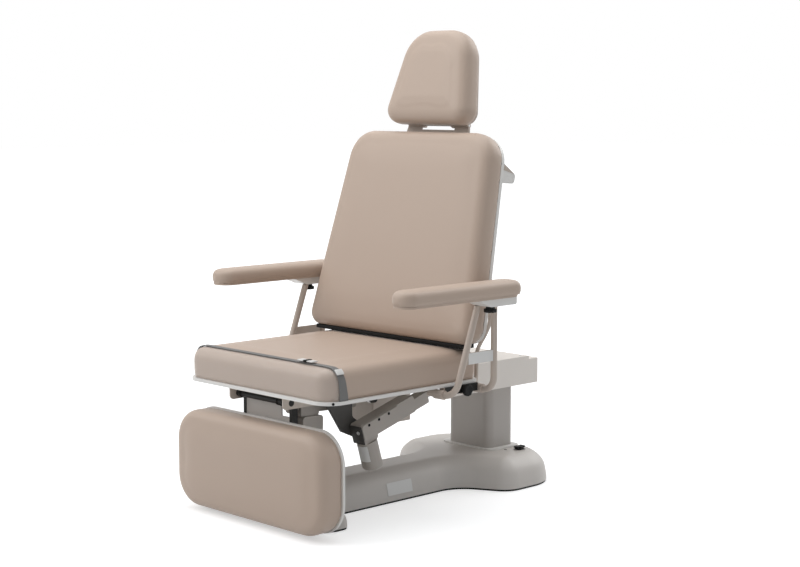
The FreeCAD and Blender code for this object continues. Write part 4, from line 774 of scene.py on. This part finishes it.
def makeBackRod(name, side, node):
    bpy.ops.object.select_all(action="DESELECT")
    bpy.ops.curve.primitive_nurbs_path_add()
    obj = bpy.context.object
    spline = obj.data.splines[0]
    spline.points.add(len(backRods["path"]) - len(spline.points))
    for point, (y, z) in zip(spline.points, backRods["path"]):
        point.co = (side * backRods["across"], y, z, 1)
    spline.order_u = 3
    spline.use_endpoint_u = True
    spline.resolution_u = 8
    obj.data.bevel_depth = backRods["radius"]
    obj.data.bevel_resolution = 5
    obj.data.use_fill_caps = True
    bpy.ops.object.convert(target="MESH")
    bpy.ops.mesh.primitive_cylinder_add(vertices=32, radius=backRods["hubRadius"], depth=backRods["hubDepth"],
                                        rotation=(0, math.pi / 2, 0),
                                        location=(side * backRods["across"], backHinge.y, backHinge.z))
    hub = bpy.context.object
    selectOnly(obj)
    hub.select_set(True)
    bpy.ops.object.join()
    bpy.ops.object.shade_smooth_by_angle(angle=creaseAngle)
    settle(obj, name, "backrest", "taupePowderCoat", "frame_paint")
    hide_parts(node)


for label, side in sides:
    makeBackRod(f"backRod{label}", side, f"back_arm_{label.lower()}")
print("details done")


# Floor, with the background's own white for the camera
stageSettings = {"floorSize": 60.0, "floorLevel": -0.0005, "floorTone": 0.75, "floorRoughness": 0.9,
                 "nearGlow": 0.5, "farGlow": 0.95, "nearReach": 1.2, "farReach": 4.0, "ambient": 0.44,
                 "ambientTint": (0.93, 0.965, 1.0, 1)}


def cameraGlow(tree):
    path = tree.nodes.new("ShaderNodeLightPath")
    seen = doMath(tree, "MAXIMUM", path.outputs["Is Camera Ray"], path.outputs["Is Glossy Ray"])
    return doMath(tree, "MAXIMUM", seen, path.outputs["Is Transmission Ray"])


def makeFloor():
    bpy.ops.object.select_all(action="DESELECT")
    bpy.ops.mesh.primitive_plane_add(size=stageSettings["floorSize"],
                                     location=(0, 0, stageSettings["floorLevel"]))
    floor = bpy.context.object
    floor.name = "studioFloor"
    material = bpy.data.materials.new("studioFloor")
    material.use_nodes = True
    tree = material.node_tree
    shader = tree.nodes["Principled BSDF"]
    tone = stageSettings["floorTone"]
    shader.inputs["Base Color"].default_value = (tone, tone, tone, 1)
    shader.inputs["Roughness"].default_value = stageSettings["floorRoughness"]
    shader.inputs["Specular IOR Level"].default_value = 0.0
    glow = addNode(tree, "ShaderNodeEmission")
    place = tree.nodes.new("ShaderNodeTexCoord").outputs["Object"]
    distance = addNode(tree, "ShaderNodeVectorMath", operation="LENGTH")
    tree.links.new(place, distance.inputs[0])
    spread = addNode(tree, "ShaderNodeMapRange", {
        "From Min": stageSettings["nearReach"], "From Max": stageSettings["farReach"],
        "To Min": stageSettings["nearGlow"], "To Max": stageSettings["farGlow"],
    }, interpolation_type="SMOOTHSTEP")
    tree.links.new(distance.outputs["Value"], spread.inputs["Value"])
    tree.links.new(doMath(tree, "MULTIPLY", cameraGlow(tree), spread.outputs[0]), glow.inputs["Strength"])
    both = tree.nodes.new("ShaderNodeAddShader")
    tree.links.new(shader.outputs[0], both.inputs[0])
    tree.links.new(glow.outputs[0], both.inputs[1])
    tree.links.new(both.outputs[0], tree.nodes["Material Output"].inputs["Surface"])
    floor.data.materials.append(material)


def makeSky():
    world = bpy.data.worlds.new("studioSky")
    bpy.context.scene.world = world
    world.use_nodes = True
    tree = world.node_tree
    backdrop = tree.nodes["Background"]
    seen = cameraGlow(tree)
    color = mixColors(tree, seen, stageSettings["ambientTint"], (1, 1, 1, 1))
    tree.links.new(color, backdrop.inputs["Color"])
    unseen = doMath(tree, "SUBTRACT", 1.0, seen)
    strength = doMath(tree, "ADD", seen, doMath(tree, "MULTIPLY", unseen, stageSettings["ambient"]))
    tree.links.new(strength, backdrop.inputs["Strength"])


lamps = {
    "keySoftbox": {"place": (-2.6, -4.2, 3.6), "aim": (0, -0.5, 0.6), "size": 3.2, "power": 95},
    "topSoftbox": {"place": (-0.4, -0.6, 4.2), "aim": (0, -0.4, 0.4), "size": 3.6, "power": 90},
    "rearSoftbox": {"place": (0.5, 3.8, 3.0), "aim": (0, 0, 0.3), "size": 2.6, "power": 62},
}


def makeLamps():
    for name, lamp in lamps.items():
        bpy.ops.object.select_all(action="DESELECT")
        bpy.ops.object.light_add(type="AREA", location=lamp["place"])
        light = bpy.context.object
        light.name = name
        light.data.size = lamp["size"]
        light.data.energy = lamp["power"]
        aim = Vector(lamp["aim"]) - Vector(lamp["place"])
        light.rotation_euler = aim.to_track_quat("-Z", "Y").to_euler()


makeFloor()
makeSky()
makeLamps()
print("stage lit")
